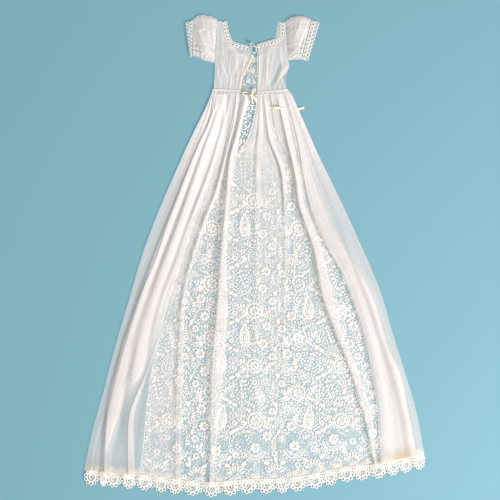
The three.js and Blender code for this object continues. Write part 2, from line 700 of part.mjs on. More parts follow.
// Bodice
piece('bodice_front', slab(BODICE_FRONT, BODICE_GAPS.map((gap) => gapOutline(gap, 0, 0))), lace);
piece('bodice_back_left', bodiceBack(BODICE_BACK_LEFT, BODICE_DIP_LEFT), net);
piece('bodice_back_right', bodiceBack(BODICE_BACK_RIGHT, BODICE_DIP_RIGHT), net);
const tapeRows = BODICE_BACK_LEFT.slice(TAPE_FROM);
const tapePlace = (u, v) => {
  const row = tapeRows[Math.round(v * (tapeRows.length - 1))];
  return [row.inner - TAPE_WIDTH * (1 - u), row.y, UPPER + WALL + BODICE_RISE + SEAM];
};
piece('placket_tape_left', wall(1, tapeRows.length - 1, tapePlace), tape);
const frontNeck = BODICE_FRONT.slice(FRONT_NECK_FROM, FRONT_NECK_TO + 1);
piece('neck_edging_front', neckEdging(frontNeck, 28, 0, 1), lace);
piece('neck_edging_back_left', neckEdging(NECK_LEFT, 20, UPPER, 1), lace);
piece('neck_edging_back_right', neckEdging(NECK_RIGHT, 20, UPPER, 1), lace);

// Sleeves and their cuffs
piece('sleeve_left', flatTube(SLEEVE_LEFT, SLEEVE_GATHERS, SLEEVE_RISE), net);
piece('sleeve_right', flatTube(SLEEVE_RIGHT, SLEEVE_GATHERS, SLEEVE_RISE), net);
piece('cuff_lace_left', flatTube(CUFF_LEFT, PICOTS, 0, PICOT_REACH), lace);
piece('cuff_lace_right', flatTube(CUFF_RIGHT, PICOTS, 0, PICOT_REACH), lace);

// Ties
piece('neck_tie', cord(NECK_TIE, NECK_TIE_WIDTH), tape);
piece('waist_bow', slab(BOW, BOW_EYES, BOW_WALL).translate(0, 0, UPPER), satin);
piece('waist_ribbon', ribbon(RIBBON, RIBBON_WIDTH, RIBBON_WALL), satin);

export default gown;
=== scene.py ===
"""Christening gown laid flat with its back up: sheer gathered net over a floral lace front panel."""
import math
import random

import bpy
import numpy as np
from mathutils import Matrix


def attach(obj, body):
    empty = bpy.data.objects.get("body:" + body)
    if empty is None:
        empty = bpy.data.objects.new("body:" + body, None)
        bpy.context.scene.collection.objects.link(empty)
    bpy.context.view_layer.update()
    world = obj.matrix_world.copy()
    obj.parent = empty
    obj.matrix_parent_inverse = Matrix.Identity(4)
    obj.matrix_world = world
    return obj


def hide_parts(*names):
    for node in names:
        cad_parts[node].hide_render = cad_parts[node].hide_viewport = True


bl_info = {
    "name": "Christening gown",
    "version": (1, 0, 0),
    "blender": (4, 5, 0),
    "location": "3D View > Sidebar > Gown",
    "description": "Makes a net and lace christening gown, laid flat on a pale floor",
    "category": "Object",
}

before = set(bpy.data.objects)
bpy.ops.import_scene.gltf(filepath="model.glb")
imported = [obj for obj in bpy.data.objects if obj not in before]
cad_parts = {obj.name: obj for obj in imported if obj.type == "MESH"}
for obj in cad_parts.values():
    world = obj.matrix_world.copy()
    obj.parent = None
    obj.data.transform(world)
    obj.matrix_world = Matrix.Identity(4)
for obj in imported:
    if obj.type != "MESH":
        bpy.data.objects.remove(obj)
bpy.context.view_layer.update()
BODY = "root"
MM = 0.001

# Sizes of the gown in millimetres, as in its construction
WALL = 1.2
SEAM = 0.3
UPPER = WALL + SEAM
WAIST_Y = 387.6
SKIRT_LENGTH = 910
BAND_HEIGHT = 13
SHEET_REST = 0.5  # height of a thin sheet over the underside of its layer
UNDER_REST = 0.3  # height over the floor of what lies in the under layer
FRONT_REST = 0.2  # height of the skirt's front over the floor
FRONT_LACE_REST = 0.25  # height of the lace stitched on it
EDGING_REST = 0.4  # height of the edgings over the underside of the upper layer

# Sides of the flat skirt at a drop below the waist
SIDES = {
    "drop": [0, 36, 101, 149, 264, 379, 494, 610, 725, 811, 910],
    "left": [-103, -118, -150, -172, -222, -266, -300, -334, -364, -388, -409],
    "right": [89, 104, 131, 151, 204, 254, 300, 333, 367, 390, 407],
}
# Seams between the lace front panel and the net beside it
LACE_SEAMS = {
    "drop": [0, 86, 254, 374, 494, 614, 734, 854, 910],
    "left": [-88, -100, -138, -172, -210, -239, -258, -270, -277],
    "right": [71, 95, 140, 190, 238, 270, 290, 303, 310],
}
# Centre back: left edge of the opening, and how far the placket slit stands open
CENTRE_BACK = {
    "drop": [0, 22, 50, 86, 115, 140, 205, 301, 397, 494, 614, 734, 830, 910],
    "edge": [-10.8, -13.2, -24, -33.6, -38, -39.5, -46.8, -54, -58.8, -63.6, -68.4, -78, -85.2, -94.8],
    "open": [12, 16.8, 22.8, 22.8, 14, 0, 0, 0, 0, 0, 0, 0, 0, 0],
}
# Length of the skirt at a share of the way across
HEM = {
    "across": [0, 0.18, 0.37, 0.48, 0.58, 0.68, 0.77, 0.86, 1],
    "length": [903, 917, 932, 925, 923, 912, 896, 888, 864],
}
# Long ridges of the back: crest line and height, and the reach of its steep and gentle side
RIDGES = [
    {"steep": 0.012, "gentle": 0.028, "drop": [0, 118, 303, 481, 734, 910],
     "across": [0.1, 0.088, 0.069, 0.045, 0.035, 0.06],
     "rise": [1, 2, 3, 3.5, 4, 4]},
    {"steep": 0.018, "gentle": 0.035, "drop": [0, 303, 481, 597, 910],
     "across": [0.15, 0.128, 0.09, 0.08, 0.11],
     "rise": [1.5, 4, 4.5, 4.5, 4]},
    {"steep": 0.014, "gentle": 0.02, "drop": [0, 125, 186, 303, 393, 481, 558, 680, 910],
     "across": [0.24, 0.235, 0.222, 0.182, 0.163, 0.135, 0.13, 0.14, 0.16],
     "rise": [1, 2, 2.5, 3, 3, 3, 3, 3, 2.5]},
    {"steep": 0.012, "gentle": 0.02, "drop": [0, 132, 205, 299, 391, 500, 600, 734, 910],
     "across": [0.32, 0.31, 0.296, 0.254, 0.227, 0.212, 0.228, 0.245, 0.27],
     "rise": [1.5, 2, 3, 3.5, 3.5, 3, 3, 2.5, 1.5]},
    {"steep": 0.012, "gentle": 0.034, "drop": [0, 98, 151, 264, 374, 497, 619, 734, 910],
     "across": [0.42, 0.376, 0.352, 0.359, 0.358, 0.354, 0.352, 0.358, 0.372],
     "rise": [1.5, 4, 5, 8, 8, 8, 8, 6, 4]},
    {"steep": 0.02, "gentle": 0.02, "drop": [0, 264, 910],
     "across": [0.6, 0.53, 0.49],
     "rise": [1.5, 3, 1.2]},
    {"steep": 0.014, "gentle": 0.026, "drop": [0, 105, 167, 233, 400, 910],
     "across": [0.66, 0.66, 0.704, 0.7, 0.654, 0.6],
     "rise": [1.5, 3, 4, 3, 0.5, 0]},
    {"steep": 0.012, "gentle": 0.034, "drop": [0, 98, 204, 266, 374, 485, 558, 667, 815, 910],
     "across": [0.82, 0.806, 0.792, 0.771, 0.787, 0.775, 0.794, 0.828, 0.847, 0.858],
     "rise": [1.5, 4, 6, 8, 8.5, 8.5, 8.5, 8, 6, 4]},
    {"steep": 0.012, "gentle": 0.03, "drop": [0, 264, 374, 503, 600, 706, 910],
     "across": [0.9, 0.833, 0.853, 0.889, 0.903, 0.897, 0.876],
     "rise": [1.5, 3, 4, 4.5, 4.5, 4.5, 4]},
    {"steep": 0.016, "gentle": 0.022, "drop": [0, 408, 650, 910],
     "across": [0.965, 0.945, 0.965, 0.965],
     "rise": [1, 3, 4, 3]},
]
# Pleats of the back where the net lies three deep: left lip, width, height of the stack, and how
# much denser the net looks there
PLEATS_LEFT = [
    {"drop": [0, 63, 125, 186, 247, 303, 345, 393, 481, 558, 597, 680, 705, 770, 861, 910],
     "lip": [-98, -108, -136, -162, -184, -206, -220, -236, -272, -300, -315, -336, -344, -354,
             -360, -361],
     "width": [5, 24, 46, 56, 57, 54, 53, 55, 60, 65, 70, 60, 46, 30, 6, 4],
     "stack": [0.6] * 16, "cover": 0.7},
    {"drop": [0, 63, 125, 186, 247, 303, 393, 481, 558, 597, 641, 691, 770, 861, 910],
     "lip": [-70, -72, -79, -95, -114, -138, -167, -195, -220, -236, -252, -272, -301, -305, -304],
     "width": [1, 1, 1, 1, 1, 1, 1, 1, 1, 2, 4, 8, 12, 16, 18], "stack": [0.4] * 15, "cover": 0.3},
    {"drop": [0, 60, 88, 132, 173, 205, 240, 269, 299, 328, 357, 391, 440, 500, 600, 734, 910],
     "lip": [-44, -50, -56, -68, -79, -88, -98, -110, -122, -132, -142, -152, -167, -176, -182,
             -188, -190],
     "width": [2, 3, 4, 5, 7, 8, 8, 8, 8, 8, 8, 8, 9, 10, 12, 14, 12], "stack": [0.5] * 17,
     "cover": 0.2},
    {"drop": [0, 38, 80, 122, 151, 182, 226, 302, 374, 436, 497, 558, 619, 734, 830, 910],
     "lip": [-24, -35, -43, -52, -62, -67, -70, -75, -82, -88, -91, -99, -103, -106, -106, -108],
     "width": [3, 5, 7, 9, 12, 14, 12, 12, 16, 22, 28, 30, 30, 24, 14, 8], "stack": [0.6] * 16,
     "cover": 0.2},
]
PLEATS_RIGHT = [
    {"drop": [0, 60, 105, 134, 167, 199, 233, 268, 300, 340, 910],
     "lip": [20, 26, 33, 44, 57, 65, 68, 70, 72, 74, 60],
     "width": [2, 4, 8, 9, 9, 8, 7, 6, 3, 1, 1], "stack": [0.6] * 11, "cover": 0.6},
    {"drop": [0, 98, 152, 204, 266, 316, 374, 485, 558, 595, 631, 667, 705, 742, 778, 815, 910],
     "lip": [52, 73, 87, 97, 104, 120, 139, 160, 184, 196, 210, 226, 237, 248, 260, 269, 288],
     "width": [4, 8, 10, 12, 15, 18, 21, 26, 21, 18, 19, 18, 20, 21, 19, 16, 6],
     "stack": [0.7] * 17, "cover": 0.5},
    {"drop": [0, 98, 204, 266, 326, 374, 446, 503, 558, 631, 706, 778, 852, 910],
     "lip": [72, 100, 118, 129, 148, 172, 213, 232, 251, 269, 283, 294, 298, 302],
     "width": [4, 8, 20, 30, 34, 36, 38, 47, 46, 48, 66, 70, 80, 85], "stack": [0.6] * 14,
     "cover": 0.35},
]
# How densely the gathered net lies, as a count of flat layers, at a drop below the waist
VEIL = {"drop": [0, 30, 70, 120, 200, 300, 450, 650, 870, 895, 910],
        "layers": [4.6, 4.2, 3.4, 2.4, 1.4, 1.0, 0.82, 0.68, 0.62, 0.7, 1.4]}
BESIDE_LACE = 1.2  # how much denser the net lies to the right of the lace panel
LEFT_FOLD = 1.0  # how much denser it lies from the left side to the fourth ridge
VEIL_LEAST, VEIL_MOST = 0.2, 12
LIP_COVER = 1.5  # more cover where the net turns over at the edge of a pleat
GATHER_PITCH = 24  # cloth drawn into each gather
GATHER_RISE = 1.3  # height of the gathers near the waist
GATHER_FADE = 120  # drop over which the gathers fade
STREAK = 0.17  # how much denser and thinner the net gets in streaks
# Yellowed corners of the hem: middle and reach across, drop where each starts, the drop over which
# it grows, and its strength
HEM_STAINS = [(0, 0.09, 850, 35, 0.5), (0.93, 0.05, 880, 22, 0.8)]
# Uneven gathers as waves: turns for each gather and the part that each wave plays
FOLD_PARTS = [(0.31, 0.3), (0.55, 0.35), (0.83, 0.4), (1.0, 0.5), (1.37, 0.35), (2.1, 0.25),
              (3.3, 0.2)]

# Lace: an all-over repeat in columns, every other one half a repeat lower and turned over
REPEAT_WIDTH = 104
REPEAT_HEIGHT = 132
REPEAT_Y = -34
MOTIFS = [
    ("medallion", 0, 34, 21, 0), ("paisley", -27, -24, 26, 14), ("daisy", 27, -3, 12.5, 10),
    ("daisy", 18, -45, 13, 0), ("daisy", 40, 57, 10, 20), ("ring", 0, -6, 7, 0),
    ("ring", 43, -30, 6.5, 0), ("ring", -48, 28, 6.5, 0), ("leaf", 30, 27, 13, 50),
    ("leaf", 36, 38, 13, 15), ("leaf", 38, 21, 12, -15), ("leaf", -31, 34, 13, 130),
    ("leaf", -35, 46, 12, 165), ("leaf", -29, 22, 11, 215), ("leaf", 4, -22, 12, 120),
    ("leaf", 8, -26, 11, 60), ("leaf", 44, -12, 11, 80), ("leaf", -2, -44, 11, 200),
    ("leaf", -8, -58, 11, 150), ("leaf", 42, -50, 11, 300), ("leaf", 18, 62, 11, 20),
    ("leaf", -20, 62, 11, 160), ("bud", -46, 6, 8, 70), ("bud", -46, -54, 9, 250),
    ("bud", 50, 8, 8, 0), ("bud", 12, 14, 6, 300), ("bud", -14, 12, 6, 230),
    ("ring", 30, -62, 4, 0), ("ring", -36, 60, 4, 0), ("ring", 24, 45, 3.6, 0),
    ("ring", -10, -26, 3.6, 0), ("ring", 30, -24, 3.8, 0), ("ring", -22, 8, 3.6, 0),
]
# What may take a motif's place from one repeat to the next
KINDRED = {"medallion": ["medallion", "medallion", "rose", "scroll"],
           "paisley": ["paisley", "spray"], "daisy": ["daisy", "daisy", "rose"]}
# Couched stems between the motifs: both ends and how far the middle bows to the left
STEMS = [
    (0, 12, 4, -20, 8), (-12, 52, -30, 60, -5), (14, 50, 36, 50, 5), (22, 30, 46, 14, -6),
    (-22, 30, -46, 16, 6), (8, -30, 40, -42, 7), (-8, -40, -38, -62, 6), (30, -12, 44, -22, 4),
    (-50, 38, -46, 60, -5), (18, -58, 6, -66, 3), (50, -8, 50, -40, 6), (-44, -8, -50, -40, -5),
]

# Along the lace's hem: festoons with a flower in each, and fans between them
HEM_PITCH = 94
HEM_SHAPES = [("crescent", 0, 74, 27, 0), ("daisy", 0, 76, 13, 0), ("fan", 47, 10, 30, 0),
              ("ring", 47, 62, 8, 0), ("bud", 24, 34, 9, 60), ("bud", -24, 34, 9, 120)]

# Middles of the gaps that stay open in one repeat
OPENINGS = [(-21, 53), (24, 51), (13, 4), (-14, 5), (44, 29), (20, -22), (32, -25), (28, -61),
            (-26, -60), (-40, 57), (-28, -28)]
PAD_RISE = 0.4  # middle of a stitched pad over its edge
CORD_RISE = 0.5  # crest of a couched cord
FILLING_MOST = 3.0  # largest size of the small pads that fill the rest of the ground
FILLING_LEAST = 2.3  # least free reach round a filling's middle
FILLING_GAP = 1.1  # free ground left round a filling
STEM_WIDTH = 2.6


def lookup(table, by, column, at):
    """Value of a table's column where another column has the value at, on a smooth curve."""
    rows = np.asarray(table[by], float)
    values = np.asarray(table[column], float)
    at = np.clip(np.asarray(at, float), rows[0], rows[-1])
    slopes = np.empty_like(values)
    slopes[1:-1] = (values[2:] - values[:-2]) / (rows[2:] - rows[:-2])
    slopes[0] = (values[1] - values[0]) / (rows[1] - rows[0])
    slopes[-1] = (values[-1] - values[-2]) / (rows[-1] - rows[-2])
    i = np.clip(np.searchsorted(rows, at, side="right") - 1, 0, len(rows) - 2)
    step = rows[i + 1] - rows[i]
    t = (at - rows[i]) / step
    ease = t * t * (3 - 2 * t)
    value = values[i] + ease * (values[i + 1] - values[i])
    return value + step * t * (1 - t) * ((1 - t) * slopes[i] - t * slopes[i + 1])


def mix(a, b, t):
    return a + (b - a) * t


def side_x(side, drop):
    return lookup(SIDES, "drop", side, drop)


def share_across(x, drop):
    left = side_x("left", drop)
    return (x - left) / (side_x("right", drop) - left)


def skirt_y(x, drop):
    length = lookup(HEM, "across", "length", share_across(x, drop))
    return WAIST_Y - SEAM - drop * length / SKIRT_LENGTH


def ridge_rise(across, drop):
    """Height of the long ridges over the flat skirt."""
    rise = 0.0
    for ridge in RIDGES:
        off = across - lookup(ridge, "drop", "across", drop)
        reach = np.where(off < 0, ridge["steep"], ridge["gentle"]) * 1.5
        near = np.clip(1 - np.abs(off) / reach, 0, 1)
        rise = rise + lookup(ridge, "drop", "rise", drop) * near * near * (3 - 2 * near)
    return rise


def crease_rise(creases, x, y):
    """Height of the listed creases: each a soft ridge or trough between two points."""
    rise = 0 * x
    for x0, y0, x1, y1, width, height in creases:
        length = math.hypot(x1 - x0, y1 - y0)
        across, down = (x1 - x0) / length, (y1 - y0) / length
        along = ((x - x0) * across + (y - y0) * down) / length
        off = (y - y0) * across - (x - x0) * down
        ends = np.clip(4 * np.minimum(along, 1 - along), 0, 1)
        rise = rise + height * ends * np.exp(-(off / width) ** 2)
    return rise


def thinner(patches, x, y):
    """How much less cover the cloth has where patches of it lie single or flat."""
    cover = 1 + 0 * x
    for px, py, reach_x, reach_y, less in patches:
        cover = cover * (1 - less * np.exp(-((x - px) / reach_x) ** 2 - ((y - py) / reach_y) ** 2))
    return cover


# Colours and nodes
def linear(hex_colour):
    """An sRGB hex colour as linear red, green, blue and alpha."""
    parts = [int(hex_colour[i:i + 2], 16) / 255 for i in (1, 3, 5)]
    return [c / 12.92 if c <= 0.04045 else ((c + 0.055) / 1.055) ** 2.4 for c in parts] + [1.0]


def opaque(colour):
    return tuple(colour) + (1.0,)


def add_node(tree, kind, settings=None, links=None):
    """Adds a node, sets its properties and unlinked inputs, and links the others."""
    node = tree.nodes.new(kind)
    for name, value in (settings or {}).items():
        if isinstance(name, str) and hasattr(node, name):
            setattr(node, name, value)
        else:
            node.inputs[name].default_value = value
    for name, output in (links or {}).items():
        tree.links.new(output, node.inputs[name])
    return node


def new_material(name):
    """An empty node material, its tree and its Principled shader."""
    material = bpy.data.materials.new(name)
    material.use_nodes = True
    tree = material.node_tree
    return material, tree, tree.nodes["Principled BSDF"]


def tinted(tree, clean, aged):
    """Cloth colour: clean, turned to its aged tint where the stain value says, and a little uneven."""
    stain = add_node(tree, "ShaderNodeAttribute", {"attribute_name": "stain"})
    place = add_node(tree, "ShaderNodeTexCoord")
    cloud = add_node(tree, "ShaderNodeTexNoise", {"Scale": 1 / (60 * MM), "Detail": 3.0},
                     {"Vector": place.outputs["Object"]})
    uneven = add_node(tree, "ShaderNodeMath", {"operation": "MULTIPLY_ADD", 1: 0.6, 2: -0.28},
                      {0: cloud.outputs["Fac"]})
    amount = add_node(tree, "ShaderNodeMath", {"operation": "ADD", "use_clamp": True},
                      {0: uneven.outputs[0], 1: stain.outputs["Fac"]})
    return add_node(tree, "ShaderNodeMix", {"data_type": "RGBA", 6: opaque(clean), 7: opaque(aged)},
                    {0: amount.outputs[0]}).outputs[2]


# Cotton bobbin net, machine woven into six-sided holes: soft, matt and milky, clearer where it
# lies flat and whiter where it is gathered or folded
def net_material(settings):
    material, tree, shader = new_material("cotton_bobbin_net")
    pitch = 3.2  # holes are 1.8 mm; drawn coarser so that they show
    place = add_node(tree, "ShaderNodeTexCoord")
    holes = add_node(tree, "ShaderNodeTexVoronoi",
                     {"feature": "DISTANCE_TO_EDGE", "Scale": 1 / (pitch * MM)},
                     {"Vector": place.outputs["Object"]})
    thread = add_node(tree, "ShaderNodeMapRange", {1: 0.0, 2: 0.28, 3: 1.35, 4: 0.75},
                      {0: holes.outputs["Distance"]})
    veil = add_node(tree, "ShaderNodeAttribute", {"attribute_name": "veil"})
    layers = add_node(tree, "ShaderNodeMath", {"operation": "MULTIPLY"},
                      {0: veil.outputs["Fac"], 1: thread.outputs[0]})
    clear = add_node(tree, "ShaderNodeMath", {"operation": "POWER", 0: 1 - settings.veil},
                     {1: layers.outputs[0]})
    cover = add_node(tree, "ShaderNodeMath", {"operation": "SUBTRACT", 0: 1.0},
                     {1: clear.outputs[0]})
    tree.links.new(cover.outputs[0], shader.inputs["Alpha"])
    colour = tinted(tree, settings.net, settings.aged)
    tree.links.new(colour, shader.inputs["Base Color"])
    bump = add_node(tree, "ShaderNodeBump", {"Strength": 0.25, "Distance": 0.3 * MM},
                    {"Height": thread.outputs[0]})
    tree.links.new(bump.outputs[0], shader.inputs["Normal"])
    shader.inputs["Roughness"].default_value = 0.85
    shader.inputs["Sheen Weight"].default_value = 0.2
    return material


# Cotton lace, buttonhole stitched by hand: dense, matt white pads and couched cords with fine
# stitches across them
def lace_material(settings):
    material, tree, shader = new_material("stitched_cotton_lace")
    stitch = 1.6  # stitches are 0.5 mm apart; drawn coarser so that they show
    place = add_node(tree, "ShaderNodeTexCoord")
    stitches = add_node(tree, "ShaderNodeTexNoise", {"Scale": 1 / (stitch * MM), "Detail": 2.0},
                        {"Vector": place.outputs["Object"]})
    colour = tinted(tree, settings.lace, settings.aged)
    tree.links.new(colour, shader.inputs["Base Color"])
    bump = add_node(tree, "ShaderNodeBump", {"Strength": 0.5, "Distance": 0.4 * MM},
                    {"Height": stitches.outputs["Fac"]})
    tree.links.new(bump.outputs[0], shader.inputs["Normal"])
    shader.inputs["Roughness"].default_value = 0.8
    shader.inputs["Sheen Weight"].default_value = 0.15
    return material


# Fine cotton ground twisted between the motifs: an open web of single threads
def ground_material(settings):
    material, tree, shader = new_material("twisted_cotton_ground")
    mesh_size = 5.5  # threads are 3 mm apart; drawn coarser so that they show
    place = add_node(tree, "ShaderNodeTexCoord")
    web = add_node(tree, "ShaderNodeTexVoronoi",
                   {"feature": "DISTANCE_TO_EDGE", "Scale": 1 / (mesh_size * MM)},
                   {"Vector": place.outputs["Object"]})
    thread = add_node(tree, "ShaderNodeMapRange", {1: 0.02, 2: 0.07, 3: 0.7, 4: 0.0},
                      {0: web.outputs["Distance"]})
    tree.links.new(thread.outputs[0], shader.inputs["Alpha"])
    colour = tinted(tree, settings.lace, settings.aged)
    tree.links.new(colour, shader.inputs["Base Color"])
    shader.inputs["Roughness"].default_value = 0.85
    return material


# Silk satin ribbon, woven with long floats: smooth, creamy and softly shining along its length, with
# painted sheen in its colour
def satin_material(settings):
    material, tree, shader = new_material("woven_silk_satin")
    place = add_node(tree, "ShaderNodeTexCoord")
    floats_and_sheen = add_node(tree, "ShaderNodeTexNoise", {"Scale": 1 / (1.5 * MM), "Detail": 2.0},
                      {"Vector": place.outputs["Object"]})
    # painted sheen: the noise paints the ribbon colour lighter or darker in patches, between the satin
    # colour as the lit copy and a shaded copy at 0.82 of it
    painted_sheen_mix = add_node(tree, "ShaderNodeMapRange", {3: 0.0, 4: 1.0}, {0: floats_and_sheen.outputs["Fac"]})
    light = opaque(settings.satin)
    painted_shade_colour = opaque(0.82 * c for c in settings.satin)
    colour = add_node(tree, "ShaderNodeMix", {"data_type": "RGBA", 6: light, 7: painted_shade_colour},
                      {0: painted_sheen_mix.outputs[0]})
    tree.links.new(colour.outputs[2], shader.inputs["Base Color"])
    bump = add_node(tree, "ShaderNodeBump", {"Strength": 0.15, "Distance": 0.2 * MM},
                    {"Height": floats_and_sheen.outputs["Fac"]})
    tree.links.new(bump.outputs[0], shader.inputs["Normal"])
    shader.inputs["Roughness"].default_value = 0.4
    shader.inputs["Sheen Weight"].default_value = 0.3
    return material


# Cotton tape and drawn cord, plain woven and yellowed with age: matt and ribbed
def tape_material(settings):
    material, tree, shader = new_material("plain_woven_cotton_tape")
    rib = 1.6  # ribs are 0.8 mm apart; drawn coarser so that they show
    place = add_node(tree, "ShaderNodeTexCoord")
    ribs = add_node(tree, "ShaderNodeTexWave",
                    {"Scale": 1 / (rib * MM) / 20, "Distortion": 1.5, "bands_direction": "Y"},
                    {"Vector": place.outputs["Object"]})
    tape = opaque(settings.tape)
    pale = opaque(settings.lace)
    faint = add_node(tree, "ShaderNodeMapRange", {3: 0.0, 4: 0.3}, {0: ribs.outputs["Fac"]})
    colour = add_node(tree, "ShaderNodeMix", {"data_type": "RGBA", 6: tape, 7: pale},
                      {0: faint.outputs[0]})
    tree.links.new(colour.outputs[2], shader.inputs["Base Color"])
    bump = add_node(tree, "ShaderNodeBump", {"Strength": 0.4, "Distance": 0.3 * MM},
                    {"Height": ribs.outputs["Fac"]})
    tree.links.new(bump.outputs[0], shader.inputs["Normal"])
    shader.inputs["Roughness"].default_value = 0.8
    return material


MAKERS = {"net": net_material, "lace": lace_material, "ground": ground_material,
          "satin": satin_material, "tape": tape_material}
made = {}


def finish_of(kind):
    """The material of a kind, made once."""
    if kind not in made:
        made[kind] = MAKERS[kind](bpy.context.scene.gown_cloth)
    return made[kind]


# Meshes
def add_piece(name, points, faces, kind, nodes, values=None, undersides=()):
    """A mesh piece in millimetres that rides on the gown and stands for construction nodes."""
    mesh = bpy.data.meshes.new(name)
    mesh.from_pydata((np.asarray(points, float) * MM).tolist(), [], faces)
    smooth = np.ones(len(mesh.polygons), bool)
    smooth[list(undersides)] = False
    mesh.polygons.foreach_set("use_smooth", smooth)
    fields = {"veil": 1.0, "stain": 0.0}
    fields.update(values or {})
    for field, amounts in fields.items():
        layer = mesh.attributes.new(field, "FLOAT", "POINT")
        amounts = np.broadcast_to(np.asarray(amounts, np.float32).ravel(), (len(mesh.vertices),))
        layer.data.foreach_set("value", np.ascontiguousarray(amounts))
    mesh.materials.append(finish_of(kind))
    piece = bpy.data.objects.new(name, mesh)
    bpy.context.scene.collection.objects.link(piece)
    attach(piece, BODY)
    if nodes:
        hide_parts(*nodes)
    return piece


def grid_faces(columns, rows):
    """Faces of a sheet whose points run across and then down."""
    across = columns + 1
    return [(a, a + across, a + across + 1, a + 1)
            for j in range(rows) for a in range(j * across, j * across + columns)]


# Folded sheets
BACK_COLUMNS_APART = 1.3
BACK_ROWS = 120


def pleat_path(pleats, drop, start, end):
    """One section of a pleated sheet from left to right: X, height and extra cover."""
    xs, heights, covers = [start], [0.0], [0.0]
    edges = [lookup(p, "drop", "lip", drop) for p in pleats]
    widths = [lookup(p, "drop", "width", drop) for p in pleats]
    stacks = [lookup(p, "drop", "stack", drop) for p in pleats]
    for k, (lip, width, stack) in enumerate(zip(edges, widths, stacks)):
        turn = min(2.0, 0.3 * width)
        inner = lip + width
        after = edges[k + 1] if k + 1 < len(pleats) else end
        settle = min(inner + 16, mix(inner, after, 0.8))
        xs += [inner - turn, inner, inner - turn, lip + turn, lip, lip + turn, inner, settle]
        heights += [0, 0.5 * stack, stack, stack, 1.5 * stack, 2 * stack, 1.6 * stack, 0]
        cover = pleats[k]["cover"]
        covers += [cover, LIP_COVER, cover, cover, LIP_COVER, cover, cover, 0]
    return np.array(xs + [end]), np.array(heights + [0.0]), np.array(covers + [0.0])


def folds(turns, down, seed):
    """Uneven gathers from about -1.4 to 1.4: one for each turn, wandering on the way down."""
    dice = random.Random(seed)
    height = 0.0
    for rate, part in FOLD_PARTS:
        rate *= dice.uniform(0.93, 1.07)
        wander = 0.6 * rate * np.sin(dice.uniform(3, 9) * down + dice.uniform(0, 6))
        height = height + part * np.sin(2 * np.pi * rate * turns + wander + dice.uniform(0, 6))
    return height


def hem_stain(across, drop):
    """Yellowing of the net near the hem, stronger in its corners."""
    stain = 0.15 * np.clip((drop - 870) / 40, 0, 1)
    for middle, reach, start, growth, strength in HEM_STAINS:
        near = np.exp(-((across - middle) / reach) ** 2)
        stain = stain + strength * near * np.clip((drop - start) / growth, 0, 1)
    return stain


def net_layers(x, drop, near, cover, gathers):
    """How many layers of net seem to lie at each point of a row."""
    gather, wisp, broad = gathers
    thin = np.clip(wisp, 0, None) ** 2
    streak = STREAK * (0.6 * gather + 1.1 * thin - 0.4 + 0.6 * broad) + 0.3 * near * gather
    layers = lookup(VEIL, "drop", "layers", drop) * (1 + streak) * (1 + cover)
    beside = np.clip((x - lookup(LACE_SEAMS, "drop", "right", drop)) / 20, 0, 1)
    fold_edge = lookup(RIDGES[3], "drop", "across", drop)
    doubled = np.clip((fold_edge - share_across(x, drop)) / 0.01, 0, 1)
    layers = layers * (1 + (BESIDE_LACE * beside + LEFT_FOLD * doubled) * (1 - near))
    return np.clip(layers, VEIL_LEAST, VEIL_MOST)


def pleated_sheet(pleats, left_edge, right_edge, seed):
    """Points, veil and stain of a gathered sheet with pleats, from its left to its right edge."""
    reference = 600  # drop at which the columns are spaced out
    keys, _, _ = pleat_path(pleats, reference, left_edge(reference), right_edge(reference))
    counts = [max(1, int(round(abs(b - a) / BACK_COLUMNS_APART))) for a, b in zip(keys, keys[1:])]
    starts = np.concatenate([[0], np.cumsum(counts)])
    columns = int(starts[-1])
    share = np.arange(columns + 1)
    # cloth laid out flat, in millimetres at the reference drop, carries the gathers
    cloth = np.interp(share, starts, np.concatenate([[0], np.cumsum(np.abs(np.diff(keys)))]))
    turns = cloth / GATHER_PITCH
    points, veils, stains = [], [], []
    for j in range(BACK_ROWS + 1):
        drop = SKIRT_LENGTH * (j / BACK_ROWS) ** 1.15  # rows lie closer near the waist
        xs, heights, covers = pleat_path(pleats, drop, left_edge(drop), right_edge(drop))
        x = np.interp(share, starts, xs)
        height = np.interp(share, starts, heights)
        down = drop / SKIRT_LENGTH
        gathers = (folds(turns, down, seed), folds(3.7 * turns, 0.5 * down, seed + 1),
                   folds(0.4 * turns, down, seed + 2))
        near = math.exp(-drop / GATHER_FADE)
        ripple = GATHER_RISE * (0.1 + 0.9 * near) * (gathers[0] + 1.4)
        eased = min(1, 0.3 + drop / 30)  # the gathers are drawn flat at the waist seam
        across = share_across(x, drop)
        rise = ridge_rise(across, drop) + height + 0.7 * ripple
        points.append(np.stack([x, skirt_y(x, drop), UPPER + SHEET_REST + eased * rise], axis=-1))
        veils.append(net_layers(x, drop, near, np.interp(share, starts, covers), gathers))
        stains.append(hem_stain(across, drop))
    return np.concatenate(points), np.concatenate(veils), np.concatenate(stains), columns


# Lace work
def flat_at(height):
    """Lays lace work flat at a height."""
    return lambda x, y: (x, y, height + 0 * x)


